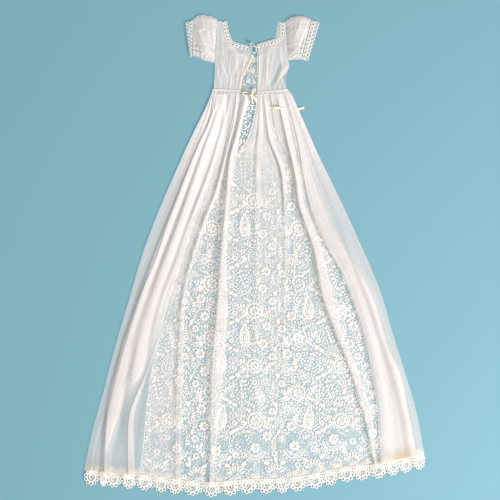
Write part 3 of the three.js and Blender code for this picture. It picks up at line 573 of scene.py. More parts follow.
class LaceWork:
    """Stitched pads and couched cords: small closed solids, drawn flat and then laid on a surface."""

    def __init__(self, lay):
        self.lay = lay
        self.flat = []
        self.faces = []
        self.undersides = set()

    def put(self, x, y, lift):
        self.flat.append((x, y, lift))
        return len(self.flat) - 1

    def laid(self):
        """All points, moved from the pattern to the surface."""
        x, y, lift = np.array(self.flat, float).T
        px, py, pz = self.lay(x, y)
        return np.stack([px, py, pz + lift], axis=-1)

    def pad(self, outline):
        """A filled shape with a raised middle."""
        count = len(outline)
        middle_x = sum(x for x, _ in outline) / count
        middle_y = sum(y for _, y in outline) / count
        rim = [self.put(x, y, 0.0) for x, y in outline]
        top = self.put(middle_x, middle_y, PAD_RISE)
        for a, b in zip(rim, rim[1:] + rim[:1]):
            self.faces.append((a, b, top))
        self.undersides.add(len(self.faces))
        self.faces.append(tuple(reversed(rim)))

    def strip(self, line, width, closed=False):
        """A couched cord along a line, three-sided, with its crest up."""
        line = np.asarray(line, float)
        if closed:
            ahead = np.roll(line, -1, axis=0) - np.roll(line, 1, axis=0)
        else:
            ahead = np.gradient(line, axis=0)
        size = np.hypot(ahead[:, 0], ahead[:, 1])
        size[size == 0] = 1
        out = np.stack([-ahead[:, 1], ahead[:, 0]], axis=-1) / size[:, None] * width / 2
        rings = []
        for (x, y), (ox, oy) in zip(line, out):
            rings.append((self.put(x + ox, y + oy, 0.0), self.put(x, y, CORD_RISE),
                          self.put(x - ox, y - oy, 0.0)))
        pairs = list(zip(rings, rings[1:]))
        if closed:
            pairs.append((rings[-1], rings[0]))
        else:
            self.faces.append(rings[0])
            self.faces.append(tuple(reversed(rings[-1])))
        for a, b in pairs:
            for k in range(3):
                m = (k + 1) % 3
                if k == 2:
                    self.undersides.add(len(self.faces))
                self.faces.append((a[k], b[k], b[m], a[m]))

    def sewn(self, name, slot, nodes, stain=0.0):
        """The finished work as a lace piece."""
        return add_piece(name, self.laid(), self.faces, "lace", nodes, {"stain": stain},
                         self.undersides)


def turned(points, x, y, degrees, flip=1):
    """Points turned about the origin, mirrored in X if flip is -1, and moved."""
    a = math.radians(degrees)
    c, s = math.cos(a), math.sin(a)
    return [(x + flip * (u * c - v * s), y + u * s + v * c) for u, v in points]


def oval(near, far, half_width, steps, taper=0.0):
    """An oval along X from near to far, narrower to its far end by the taper."""
    middle, half = (near + far) / 2, (far - near) / 2
    angles = [2 * math.pi * k / steps for k in range(steps)]
    return [(middle + half * math.cos(t), half_width * math.sin(t) * (1 - taper * math.cos(t)))
            for t in angles]


def circle(radius, steps):
    return [(radius * math.cos(2 * math.pi * k / steps), radius * math.sin(2 * math.pi * k / steps))
            for k in range(steps)]


def teardrop(size, scale, steps=24):
    """A paisley's drop with its tip bent over, along X, scaled about its round end."""
    line = []
    for k in range(steps):
        t = 2 * math.pi * k / steps
        along = -math.cos(t)
        across = 0.56 * math.sin(t) * abs(math.cos(t / 2)) + 0.34 * ((along + 1) / 2) ** 2.5
        line.append((size * (-0.45 + (along + 0.45) * scale), -size * across * scale))
    return line


# Motifs of the lace: each is stitched through around(), which turns and places a shape
def medallion(work, around, size):
    for k in range(8):
        work.pad(around(oval(0.2 * size, 0.66 * size, 0.2 * size, 10), 45 * k))
    for k in range(16):
        work.pad(around(oval(0.9 * size, 1.12 * size, 0.13 * size, 6), 22.5 * k))
    work.strip(around(circle(0.8 * size, 28), 0), 0.22 * size, closed=True)
    work.strip(around(circle(0.15 * size, 10), 0), 0.1 * size, closed=True)


def daisy(work, around, size):
    for k in range(7):
        work.pad(around(oval(0.22 * size, 1.05 * size, 0.36 * size, 9, -0.25), 360 * k / 7))
    work.strip(around(circle(0.2 * size, 9), 0), 0.14 * size, closed=True)


def ring(work, around, size):
    work.strip(around(circle(0.7 * size, 14), 0), 0.6 * size, closed=True)


def leaf(work, around, size):
    """Three pairs of leaflets on a vein, and one at its tip."""
    for side in (-1, 1):
        for k in range(3):
            leaflet = turned(oval(0, (0.66 - 0.1 * k) * size, 0.2 * size, 8), 0, 0, side * 50)
            work.pad(around([(u + (0.6 * k - 0.95) * size, v) for u, v in leaflet], 0))
    work.pad(around(oval(0.55 * size, 1.15 * size, 0.2 * size, 8), 0))
    vein = [(-1.1 * size, 0), (0, 0.05 * size), (0.7 * size, 0)]
    work.strip(around(vein, 0), 0.14 * size)


def bud(work, around, size):
    for spread in (-32, 0, 32):
        work.pad(around(oval(0, 1.5 * size, 0.42 * size, 8), spread))


def paisley(work, around, size):
    """A drop of three cords with a filled middle and dots round it."""
    for scale, width in ((1.0, 0.14), (0.78, 0.08), (0.52, 0.12)):
        work.strip(around(teardrop(size, scale), 90), width * size, closed=True)
    work.pad(around(teardrop(size, 0.34, 14), 90))
    for u, v in teardrop(size, 1.12, 18)[1::2]:
        work.pad(around([(u + a, v + b) for a, b in circle(0.075 * size, 6)], 90))


def crescent(work, around, size):
    """A hanging festoon of three cords with petals under it."""
    for scale, width in ((1.0, 0.13), (0.84, 0.07), (0.66, 0.11)):
        bend = [(size * scale * math.cos(t), size * scale * math.sin(t))
                for t in np.linspace(math.radians(190), math.radians(350), 14)]
        work.strip(around(bend, 0), width * size)
    for t in np.linspace(200, 340, 9):
        work.pad(around(oval(1.1 * size, 1.36 * size, 0.1 * size, 7), t))


def rose(work, around, size):
    """Two rounds of open petals about a filled eye."""
    for reach, count, width in ((1.0, 6, 0.34), (0.55, 5, 0.22)):
        petal = oval(0.42 * reach * size, reach * size, width * size, 8, -0.2)
        for k in range(count):
            work.strip(around(petal, 360 * k / count + 30 * reach), 0.14 * size, closed=True)
    work.pad(around(circle(0.14 * size, 7), 0))


def scroll(work, around, size):
    """Two curls about each other, with dots round them."""
    for start in (0, 180):
        curl = [(size * (0.18 + 0.15 * t) * math.cos(t), size * (0.18 + 0.15 * t) * math.sin(t))
                for t in np.linspace(0, 1.7 * math.pi, 18)]
        work.strip(around(curl, start), 0.17 * size)
        work.pad(around(oval(0.95 * size, 1.2 * size, 0.13 * size, 7), start - 40))
    for k in range(9):
        work.pad(around(oval(1.06 * size, 1.16 * size, 0.06 * size, 5), 40 * k))


def spray(work, around, size):
    """A long stem with five pairs of leaves and one at its tip."""
    stem = [(-0.9 * size, 0), (0, 0.12 * size), (0.8 * size, 0)]
    work.strip(around(stem, 90), 2.2)
    for k in range(5):
        for side in (-1, 1):
            blade = turned(oval(0.06 * size, 0.44 * size, 0.12 * size, 8, 0.3), 0, 0, side * 52)
            work.pad(around([(u + (0.36 * k - 0.8) * size, v) for u, v in blade], 90))
    work.pad(around(oval(0.72 * size, 1.1 * size, 0.14 * size, 8), 90))


def fan(work, around, size):
    for k in range(7):
        work.pad(around(oval(0.3 * size, size, 0.09 * size, 8, -0.3), 30 + 20 * k))
    for k in range(6):
        work.pad(around(oval(0.8 * size, 1.02 * size, 0.07 * size, 6), 40 + 20 * k))


STITCHED = {"medallion": medallion, "daisy": daisy, "ring": ring, "leaf": leaf, "bud": bud,
            "paisley": paisley, "crescent": crescent, "rose": rose, "scroll": scroll,
            "spray": spray, "fan": fan}


def stitch_motif(work, kind, x, y, size, turn, flip):
    """Adds one motif of the lace at a place, with its size and turn."""
    def around(shape, degrees):
        return turned(turned(shape, 0, 0, degrees), x, y, turn, flip)

    STITCHED[kind](work, around, size)


def stem_line(x0, y0, x1, y1, bow, steps=8):
    """A stem from one point to another, bowed to its left."""
    size = math.hypot(x1 - x0, y1 - y0)
    nx, ny = -(y1 - y0) / size, (x1 - x0) / size
    line = []
    for k in range(steps + 1):
        t = k / steps
        off = 4 * bow * t * (1 - t)
        line.append((mix(x0, x1, t) + nx * off, mix(y0, y1, t) + ny * off))
    return line


def repeats(columns, rows):
    """Each repeat of the lace: its X and Y, -1 where it is turned over, and a number of its own."""
    for column in columns:
        flip = -1 if column % 2 else 1
        lower = REPEAT_HEIGHT / 2 if column % 2 else 0
        for row in rows:
            y = REPEAT_Y + row * REPEAT_HEIGHT + lower
            yield column * REPEAT_WIDTH, y, flip, 100 * column + row


def sew_repeats(work, inside, columns, rows):
    """Covers a cloth with the lace repeat, wherever inside says that a motif fits."""
    for x, y, flip, number in repeats(columns, rows):
        dice = random.Random(number)
        for kind, mx, my, size, turn in MOTIFS:
            kind = dice.choice(KINDRED.get(kind, [kind]))
            size *= dice.uniform(0.92, 1.12)
            turn += dice.uniform(-14, 14)
            mx += dice.uniform(-1.5, 1.5)
            if inside(x + flip * mx, y + my, size):
                stitch_motif(work, kind, x + flip * mx, y + my, size, turn, flip)
        for x0, y0, x1, y1, bow in STEMS:
            line = [(x + flip * u, y + v) for u, v in stem_line(x0, y0, x1, y1, bow)]
            if all(inside(u, v, 1) for u, v in line):
                work.strip(line, STEM_WIDTH)


def repeat_shapes():
    """Sample points of all that is stitched, and the open gaps, on and round one repeat."""
    work = LaceWork(flat_at(0))
    sew_repeats(work, lambda x, y, size: True, range(-1, 2), range(-1, 2))
    points = work.laid()[:, :2]
    gaps = []
    for x, y, flip, _ in repeats(range(-1, 2), range(-1, 2)):
        gaps += [(x + flip * u + a, y + v + b) for u, v in OPENINGS for a, b in circle(2.5, 6)]
    return np.vstack([points, np.array(gaps)])


def plan_fillings():
    """Small pads for one repeat, as X, Y, size and turn, the largest free places first."""
    dice = random.Random(21)
    step = 1.0
    xs = np.arange(-REPEAT_WIDTH / 2, REPEAT_WIDTH / 2, step)
    ys = np.arange(-REPEAT_HEIGHT / 2, REPEAT_HEIGHT / 2, step) + REPEAT_Y
    grid = np.stack(np.meshgrid(xs, ys), axis=-1).reshape(-1, 2)
    free = np.full(len(grid), 99.0)  # distance from each point to what is stitched
    shapes = repeat_shapes()
    reach = (REPEAT_WIDTH / 2 + 8, REPEAT_HEIGHT / 2 + 8)
    close = np.all(np.abs(shapes - (0, REPEAT_Y)) < reach, axis=1)
    for point in shapes[close]:
        np.minimum(free, np.hypot(*(grid - point).T), out=free)
    plan = []
    while True:
        best = int(np.argmax(free))
        if free[best] < FILLING_LEAST:
            return plan
        size = min(free[best] - FILLING_GAP, FILLING_MOST)
        x, y = grid[best]
        plan.append((x, y - REPEAT_Y, size, dice.uniform(0, 180)))
        np.minimum(free, np.hypot(*(grid - grid[best]).T) - size, out=free)


def sew_fillings(work, inside, columns, rows):
    """Fills the ground between the motifs with small pads."""
    plan = plan_fillings()
    for x, y, flip, _ in repeats(columns, rows):
        for fx, fy, size, turn in plan:
            if inside(x + flip * fx, y + fy, size):
                shape = oval(-1.4 * size, 1.4 * size, 0.85 * size, 7)
                work.pad(turned(shape, x + flip * fx, y + fy, turn, flip))


def rosette(work, x, y, radius, squash, turn):
    """A hem rosette: an open eye, bars that radiate from it, a ring and open loops all round."""
    def around(shape, degrees):
        return [(x + squash * (u - x), v) for u, v in turned(turned(shape, 0, 0, degrees), x, y, turn)]

    work.strip(around(circle(0.17 * radius, 10), 0), 0.11 * radius, closed=True)
    for k in range(12):
        work.strip(around([(0.2 * radius, 0), (0.52 * radius, 0)], 30 * k), 0.1 * radius)
    work.strip(around(circle(0.56 * radius, 26), 0), 0.16 * radius, closed=True)
    for k in range(10):
        loop = oval(0.6 * radius, 0.97 * radius, 0.19 * radius, 11)
        work.strip(around(loop, 36 * k), 0.12 * radius, closed=True)
        work.pad(around([(0.99 * radius + u, v) for u, v in circle(0.07 * radius, 5)], 36 * k))


def hem_heading(work, from_x, to_x):
    """A dense cream heading of rings between two cords, along the net's hem."""
    pitch = 8
    xs = np.linspace(from_x, to_x, round((to_x - from_x) / pitch) + 1)
    for down in (0.5, 8.5):
        work.strip([(x, skirt_y(x, SKIRT_LENGTH) - down) for x in xs], 2.2)
    for x in xs[:-1] + pitch / 2:
        y = skirt_y(x, SKIRT_LENGTH) - 4.5
        work.strip([(x + u, y + v) for u, v in circle(2.7, 8)], 1.9, closed=True)


# Properties
class GownCloth(bpy.types.PropertyGroup):
    """Colours and sheerness of the gown's cloths."""

    veil: bpy.props.FloatProperty(
        name="Net cover", description="Share of light that one flat layer of net stops",
        default=0.24, min=0.05, max=0.95, subtype="FACTOR")
    net: bpy.props.FloatVectorProperty(
        name="Net", description="Colour of the bobbin net", subtype="COLOR",
        default=linear("#FBF3F0")[:3])
    lace: bpy.props.FloatVectorProperty(
        name="Lace", description="Colour of the lace and its edgings", subtype="COLOR",
        default=linear("#FDFAF4")[:3])
    aged: bpy.props.FloatVectorProperty(
        name="Aged cotton", description="Tint of cotton that has yellowed", subtype="COLOR",
        default=linear("#E3CFAF")[:3])
    satin: bpy.props.FloatVectorProperty(
        name="Ribbon", description="Colour of the satin ribbon", subtype="COLOR",
        default=linear("#FBF3D6")[:3])
    tape: bpy.props.FloatVectorProperty(
        name="Tape", description="Colour of the back tape and the neck cord", subtype="COLOR",
        default=linear("#EBDCC0")[:3])


class GownStage(bpy.types.PropertyGroup):
    """Floor, light and camera."""

    floor: bpy.props.FloatVectorProperty(
        name="Floor", description="Colour of the plain floor", subtype="COLOR",
        default=linear("#7CAAB6")[:3])
    height: bpy.props.FloatProperty(
        name="Camera height", description="Height of the camera over the floor",
        default=6.0, unit="LENGTH")
    view: bpy.props.FloatProperty(
        name="View", description="Width of the floor that the picture shows",
        default=1.2, unit="LENGTH")
    middle: bpy.props.FloatVectorProperty(
        name="Middle", description="Point of the floor in the middle of the picture", size=2,
        default=(-0.0108, 0.0132), unit="LENGTH")


FLOOR_HALF = 3.0
# Soft square lights, aimed at the gown: place, width and power, in metres and watts
LIGHTS = {
    "key_light": ((3.1, -2.2, 1.95), 1.4, 246),
    "fill_light": ((-1.6, 1.8, 2.6), 2.4, 15),
    "top_light": ((0.1, 0.1, 3.4), 2.6, 26),
}
ROOM_COLOUR = "#EEF2F5"
ROOM_STRENGTH = 0.38


class GOWN_OT_stage(bpy.types.Operator):
    """Lays the floor and sets the camera and the soft lights"""

    bl_idname = "gown.stage"
    bl_label = "Stage"

    def execute(self, context):
        settings = context.scene.gown_stage
        mesh = bpy.data.meshes.new("floor")
        corners = [(FLOOR_HALF * x, FLOOR_HALF * y, 0) for x, y in ((-1, -1), (1, -1), (1, 1), (-1, 1))]
        mesh.from_pydata(corners, [], [(0, 1, 2, 3)])
        floor = bpy.data.objects.new("floor", mesh)
        context.scene.collection.objects.link(floor)
        material, _, shader = new_material("matt_painted_floor")
        shader.inputs["Base Color"].default_value = opaque(settings.floor)
        shader.inputs["Roughness"].default_value = 0.9
        mesh.materials.append(material)
        self.add_camera(context, settings)
        for name, (place, width, power) in LIGHTS.items():
            self.add_light(context, name, place, width, power)
        world = bpy.data.worlds.new("soft_room")
        world.use_nodes = True
        background = world.node_tree.nodes["Background"]
        background.inputs["Color"].default_value = linear(ROOM_COLOUR)
        background.inputs["Strength"].default_value = ROOM_STRENGTH
        context.scene.world = world
        context.scene.view_settings.view_transform = "Standard"
        return {"FINISHED"}

    def add_camera(self, context, settings):
        """A camera straight above, with the picture's width at the floor."""
        data = bpy.data.cameras.new("camera")
        data.sensor_width = 36
        data.lens = data.sensor_width * settings.height / settings.view
        camera = bpy.data.objects.new("camera", data)
        camera.location = (settings.middle[0], settings.middle[1], settings.height)
        context.scene.collection.objects.link(camera)
        context.scene.camera = camera

    def add_light(self, context, name, place, width, power):
        """A square soft light aimed at the gown."""
        data = bpy.data.lights.new(name, "AREA")
        data.size = width
        data.energy = power
        light = bpy.data.objects.new(name, data)
        light.location = place
        aim = -light.location
        light.rotation_euler = aim.to_track_quat("-Z", "Y").to_euler()
        context.scene.collection.objects.link(light)


# Routes of the ties, in metres
NECK_TIE = [
    (-0.009, 0.497, 0.0043), (-0.007, 0.4895, 0.0043), (-0.0024, 0.4854, 0.0043),
    (0.0026, 0.4872, 0.0043), (0.0046, 0.4926, 0.0043), (0.0034, 0.499, 0.0043),
    (-0.0004, 0.5036, 0.0043), (-0.0046, 0.5086, 0.0046), (-0.009, 0.5094, 0.0054),
    (-0.0104, 0.5054, 0.0064), (-0.0066, 0.5026, 0.0072), (-0.0016, 0.502, 0.0074),
    (0.0028, 0.5014, 0.0072), (0.0066, 0.4994, 0.0056), (0.0104, 0.4986, 0.0044),
]
RIBBON = [
    (-0.006, 0.385, 0.0036), (-0.001, 0.378, 0.0062), (0.006, 0.369, 0.0088),
    (0.016, 0.3615, 0.0096), (0.03, 0.357, 0.0096), (0.045, 0.3546, 0.0094),
    (0.06, 0.354, 0.0092), (0.074, 0.352, 0.009), (0.086, 0.35, 0.0086),
    (0.096, 0.3496, 0.007), (0.104, 0.351, 0.0044), (0.112, 0.3534, 0.0012),
    (0.119, 0.3554, 0.0003),
]
# Where the ribbon lies on the gathers and where they hide it: X and its height in millimetres
RIBBON_REST = {"x": [-6, 0, 8, 38, 45, 60, 71, 77, 92, 100, 106, 112, 119],
               "z": [3.6, 4.4, 1.5, 1.5, 5.6, 6.0, 5.4, 1.5, 1.5, 2.6, 1.6, 0.7, 0.4]}
NECK_TIE_WIDTH = 2.4
RIBBON_WIDTH = 6
RIBBON_THICK = 0.5
BOW_DROP = 4  # how far the bow hangs below its eyelets
BOW_REST = 2.2  # height of the bow over the floor
# Two loops and the short end of the bow, each with its width, and the knot that holds them, in
# millimetres
BOW = [
    ([(-10, 388), (-16, 387), (-24, 388), (-28.5, 392), (-25, 396), (-17, 394.6), (-9, 389.6)], 5.0),
    ([(-7, 388), (-3, 395), (1.6, 401.6), (0, 404.6), (-4.6, 400.4), (-8, 390)], 4.4),
    ([(-8, 388), (-6.6, 380), (-5.4, 367.6)], 5.4),
]
KNOT = [(-12, 387.4, 4.4), (-9.6, 388.2, 4.9), (-7, 388.2, 4.9), (-4.8, 387.2, 4.4)]
KNOT_RADIUS = 2.7


def smooth_route(route, steps):
    """Points on a smooth curve through a route, in millimetres."""
    points = np.asarray(route, float) / MM
    padded = np.vstack([2 * points[0] - points[1], points, 2 * points[-1] - points[-2]])
    line = []
    for k in range(len(points) - 1):
        a, b, c, d = padded[k:k + 4]
        for t in np.arange(steps) / steps:
            line.append(0.5 * (2 * b + (c - a) * t + (2 * a - 5 * b + 4 * c - d) * t * t
                               + (3 * b - a - 3 * c + d) * t ** 3))
    line.append(points[-1])
    return np.array(line)


def headings(line):
    """Unit direction of a line, seen from above, at each of its points."""
    ahead = np.gradient(line[:, :2], axis=0)
    return ahead / np.linalg.norm(ahead, axis=1)[:, None]


def section_faces(order, count, size):
    """Faces of a closed solid from a count of like sections, each of a size, in the order given."""
    faces = []
    for j in range(count - 1):
        low, high = j * size, (j + 1) * size
        for a, b in zip(order, order[1:] + order[:1]):
            faces.append((low + a, low + b, high + b, high + a))
    faces.append(tuple(reversed(order)))
    faces.append(tuple((count - 1) * size + k for k in order))
    return faces


def tube(line, radius, sides=10):
    """Points and faces of a round tube with closed ends."""
    points = []
    ahead = np.gradient(line, axis=0)
    for (x, y, z), direction in zip(line, ahead):
        side = np.cross(direction, (0, 0, 1))
        side /= np.linalg.norm(side)
        up = np.cross(side, direction)
        up /= np.linalg.norm(up)
        for k in range(sides):
            a = 2 * math.pi * k / sides
            points.append(np.array([x, y, z]) + radius * (math.cos(a) * side + math.sin(a) * up))
    return points, section_faces(list(range(sides)), len(line), sides)


class GOWN_OT_ties(bpy.types.Operator):
    """Ties the drawn cord at the neck, the ribbon bow and the free ribbon end at the waist"""

    bl_idname = "gown.ties"
    bl_label = "Ties"

    def execute(self, context):
        line = smooth_route(NECK_TIE, 5)
        points, faces = tube(line, NECK_TIE_WIDTH / 2)
        tie = add_piece("neck_cord", points, faces, "tape", ["neck_tie"])
        self.add_ribbon(self.add_bow())
        return {"FINISHED"}

    def add_ribbon(self, bow):
        """The free ribbon end, which runs over the gathers to the floor."""
        line = smooth_route(RIBBON, 5)
        line[:, 2] = np.interp(line[:, 0], RIBBON_REST["x"], RIBBON_REST["z"])
        points, across = [], 6
        for j, ((x, y, z), (ax, ay)) in enumerate(zip(line, headings(line))):
            wave = 0.25 * math.sin(0.9 * j)
            for lift in (0.0, RIBBON_THICK):
                for k in range(across + 1):
                    off = (k / across - 0.5) * RIBBON_WIDTH
                    crown = 0.35 * math.cos(math.pi * (k / across - 0.5))
                    points.append((x - ay * off, y + ax * off, z + 0.25 + lift + crown + wave * off / 6))
        size = 2 * (across + 1)
        order = list(range(across + 1)) + list(range(size - 1, across, -1))
        faces = section_faces(order, len(line), size)
        ribbon = add_piece("ribbon_end", points, faces, "satin", ["waist_ribbon"])

    def add_bow(self):
        """Two small loops, a knot and the short end."""
        points, faces = [], []

        def join(more_points, more_faces):
            base = len(points)
            points.extend(more_points)
            faces.extend(tuple(base + i for i in face) for face in more_faces)

        for number, (route, width) in enumerate(BOW):
            join(*self.bow_strap(route, width, number))
        join(*tube(np.array(KNOT) - (0, BOW_DROP, 0), KNOT_RADIUS))
        return add_piece("ribbon_bow", points, faces, "satin", ["waist_bow"])

    def bow_strap(self, route, width, number):
        """One loop or end of the bow, which rises off the knot and lies over the one before it."""
        line = smooth_route([(x * MM, (y - BOW_DROP) * MM, BOW_REST * MM) for x, y in route], 6)
        points = []
        for j, ((x, y, z), (ax, ay)) in enumerate(zip(line, headings(line))):
            t = j / (len(line) - 1)
            half = width / 2 * (0.7 + 0.3 * math.sin(math.pi * min(1, t * 1.15)))
            rise = 2.2 * math.sin(math.pi * t) + 1.2 * number
            for lift, side in ((0, -1), (0.8, 0), (0, 1)):
                points.append((x - ay * half * side, y + ax * half * side, z + rise + lift))
            points.append((x, y, z + rise - 0.3))
        return points, section_faces([3, 2, 1, 0], len(line), 4)


PANEL_REPEATS = (range(-3, 4), range(-5, 4))  # columns and rows that cover the lace panel


class GOWN_OT_skirt_front(bpy.types.Operator):
    """Lays the lace front panel and the net beside it"""

    bl_idname = "gown.skirt_front"
    bl_label = "Skirt front"

    def execute(self, context):
        def seam(side):
            return lambda drop: lookup(LACE_SEAMS, "drop", side, drop)

        def edge(side):
            return lambda drop: side_x(side, drop)

        motifs = self.add_motifs()
        ground = self.add_flat("front_lace_ground", seam("left"), seam("right"), "ground",
                               "floral_lace", "skirt_front_lace")
        for name, left, right, node in (
                ("front_net_left", edge("left"), seam("left"), "skirt_front_net_left"),
                ("front_net_right", seam("right"), edge("right"), "skirt_front_net_right")):
            self.add_flat(name, left, right, "net", "net", node)
        return {"FINISHED"}

    def add_motifs(self):
        """Stitched motifs of the lace panel."""
        def inside(x, y, size):
            drop = WAIST_Y - y
            if drop < size + 4 or y - skirt_y(x, SKIRT_LENGTH) < 0.6 * size + 1:
                return False
            left = lookup(LACE_SEAMS, "drop", "left", drop)
            right = lookup(LACE_SEAMS, "drop", "right", drop)
            return left + 0.55 * size < x < right - 0.55 * size

        def clear_of_hem(x, y, size):
            over = y - skirt_y(x, SKIRT_LENGTH)
            for _, hx, hy, reach, _ in HEM_SHAPES:
                off = (x - hx + HEM_PITCH / 2) % HEM_PITCH - HEM_PITCH / 2
                if math.hypot(off, over - hy) < 1.15 * reach + 0.3 * size:
                    return False
            return inside(x, y, size)

        work = LaceWork(flat_at(FRONT_LACE_REST))
        sew_repeats(work, clear_of_hem, *PANEL_REPEATS)
        for k in range(-3, 4):
            for kind, hx, hy, size, turn in HEM_SHAPES:
                x = k * HEM_PITCH + hx
                y = skirt_y(x, SKIRT_LENGTH) + hy
                if inside(x, y + size, 0.5 * size):
                    stitch_motif(work, kind, x, y, size, turn, 1)
        motifs = work.sewn("front_lace_motifs", "floral_lace", [], 0.02)
        filling = LaceWork(flat_at(FRONT_LACE_REST))
        sew_fillings(filling, inside, *PANEL_REPEATS)
        self.edge_seams(filling)
        return [motifs, filling.sewn("front_lace_fillings", "floral_lace", [], 0.02)]

    def edge_seams(self, work):
        """A couched cord with a row of small pads along both seams, where the repeat is cut off."""
        for side, step in (("left", 1), ("right", -1)):
            drops = np.linspace(60, SKIRT_LENGTH, 120)
            line = [(lookup(LACE_SEAMS, "drop", side, d) + 1.5 * step, d) for d in drops]
            work.strip([(x, skirt_y(x, d)) for x, d in line], 2.2)
            for k, (x, d) in enumerate(line):
                shape = oval(-3.2, 3.2, 2.0, 7)
                work.pad(turned(shape, x + step * (5 + 2.5 * (k % 2)), skirt_y(x, d), 50 * k))

    def add_flat(self, name, left, right, kind, slot, node):
        """A flat sheet between two edges."""
        columns, rows = 24, 60
        points, veils = [], []
        for j in range(rows + 1):
            drop = SKIRT_LENGTH * j / rows
            x = np.linspace(left(drop), right(drop), columns + 1)
            points.append(np.stack([x, skirt_y(x, drop), FRONT_REST + 0 * x], axis=-1))
            veils.append(np.full(columns + 1, lookup(VEIL, "drop", "layers", drop)))
        return add_piece(name, np.concatenate(points), grid_faces(columns, rows), kind, [node],
                         {"veil": np.concatenate(veils)})


class GOWN_OT_skirt_back(bpy.types.Operator):
    """Drapes the two gathered net halves of the skirt's back, with their long pleats"""

    bl_idname = "gown.skirt_back"
    bl_label = "Skirt back"

    def execute(self, context):
        def centre(drop):
            return lookup(CENTRE_BACK, "drop", "edge", drop)

        def slit(drop):
            return centre(drop) + SEAM + max(0, lookup(CENTRE_BACK, "drop", "open", drop))

        # name, pleats, left and right edge, node, and the number that its gathers are drawn from
        halves = [
            ("back_net_left", PLEATS_LEFT, lambda d: side_x("left", d), centre, "skirt_back_left", 3),
            ("back_net_right", PLEATS_RIGHT, slit, lambda d: side_x("right", d), "skirt_back_right", 5),
        ]
        for name, pleats, left, right, node, seed in halves:
            points, veil, stain, columns = pleated_sheet(pleats, left, right, seed)
            piece = add_piece(name, points, grid_faces(columns, BACK_ROWS), "net", [node],
                              {"veil": veil, "stain": stain})
        return {"FINISHED"}


# Rosettes along the hem: place in X, and width against height
ROSETTES = [
    (-392, 0.9), (-363, 0.5), (-339, 0.95), (-302, 0.8), (-265, 0.9), (-224, 0.9), (-191, 0.85),
    (-150, 1), (-104, 1), (-59, 1), (-18, 1), (27, 1), (66, 0.8), (102, 1), (145, 1), (181, 0.9),
    (220, 1), (256, 1), (296, 0.95), (331, 0.8), (362, 0.8), (394, 0.75),
]
ROSETTE_RADIUS = 19.5
FRONT_SHIFT = 20  # how far the front's rosettes stand to the right, to show between the back's
FRONT_DROP, BACK_DROP = 5, 14.5  # from the net's hem down to a rosette's middle
HEM_ENDS = (-406, 404)


class GOWN_OT_hem_lace(bpy.types.Operator):
    """Sews the rosette edging along the hem of the front and the back"""

    bl_idname = "gown.hem_lace"
    bl_label = "Hem lace"

    def execute(self, context):
        dice = random.Random(11)

        def over_ridges(x, y):
            """The back's edging follows the ridges at the net's hem and lies flat at its lower edge."""
            over = y - skirt_y(x, SKIRT_LENGTH)
            fall = np.clip((over + 34) / 34, 0, 1)
            high = ridge_rise(share_across(x, SKIRT_LENGTH), SKIRT_LENGTH) + 0.2
            return x, y, UPPER + EDGING_REST + high * fall

        edge = lookup(CENTRE_BACK, "drop", "edge", SKIRT_LENGTH)
        left, right = HEM_ENDS
        groups = [
            ("hem_rosettes_front", (left, right), "hem_edging_front"),
            ("hem_rosettes_left", (left, edge), "hem_edging_back_left"),
            ("hem_rosettes_right", (edge, right), "hem_edging_back_right"),
        ]
        for name, ends, node in groups:
            front = node == "hem_edging_front"
            work = LaceWork(flat_at(UNDER_REST) if front else over_ridges)
            for x, squash in ROSETTES:
                if front or (x < edge - 4) == (ends[1] == edge):
                    place = x + (FRONT_SHIFT if front and x < 380 else 0)
                    y = skirt_y(place, SKIRT_LENGTH) - (FRONT_DROP if front else BACK_DROP)
                    rosette(work, place, y, ROSETTE_RADIUS, squash, dice.uniform(0, 30))
            hem_heading(work, *ends)
            work.sewn(name, "edging_lace", [node], 0.1)
        return {"FINISHED"}


# Waist bands on the skirt's top edge: X of both ends at the top and at the bottom, the height at
# both ends, how high they lie and how dense they are
BANDS = [
    {"name": "band_front", "node": "waistband_front", "left": (-99, -103), "right": (77.5, 89),
     "heights": (BAND_HEIGHT, BAND_HEIGHT), "z": UNDER_REST, "veil": 2.0},
    {"name": "casing_left", "node": "waist_casing_back_left", "left": (-99, -103),
     "right": (-32.4, -32.4), "heights": (BAND_HEIGHT, 10), "z": UPPER + UNDER_REST, "veil": 3.2},
    {"name": "casing_right", "node": "waist_casing_back_right", "left": (6.5, 6.5),
     "right": (77.5, 89), "heights": (4.5, BAND_HEIGHT), "z": UPPER + UNDER_REST, "veil": 3.4},
]


class GOWN_OT_waist(bpy.types.Operator):
    """Sews the front waistband and the two drawn casings of the back"""

    bl_idname = "gown.waist"
    bl_label = "Waist"

    def execute(self, context):
        for band in BANDS:
            columns, rows = 150, 12
            u = np.arange(columns + 1) / columns
            points, veils, stains = [], [], []
            for j in range(rows + 1):
                v = j / rows
                x = mix(mix(*band["left"], v), mix(*band["right"], v), u)
                height = mix(*band["heights"], u)
                upper = band["z"] > UPPER
                gather = folds(12 * u, 0.1 * v, 7) * (0.2 + 0.8 * v)
                roll = math.exp(-((v - 0.12) / 0.1) ** 2)
                lap = 1.4 * v * v * upper
                z = band["z"] + (0.5 * (1.4 + gather) + 1.5 * roll + lap if upper else 0 * u)
                points.append(np.stack([x, WAIST_Y + height * (1 - v) - lap, z], axis=-1))
                veils.append(band["veil"] * (1 + 0.18 * gather + 1.2 * roll * upper))
                stains.append(np.full(columns + 1, 0.05 + 0.5 * roll * upper))
            piece = add_piece(band["name"], np.concatenate(points), grid_faces(columns, rows), "net",
                              [band["node"]],
                              {"veil": np.concatenate(veils), "stain": np.concatenate(stains)})
        return {"FINISHED"}


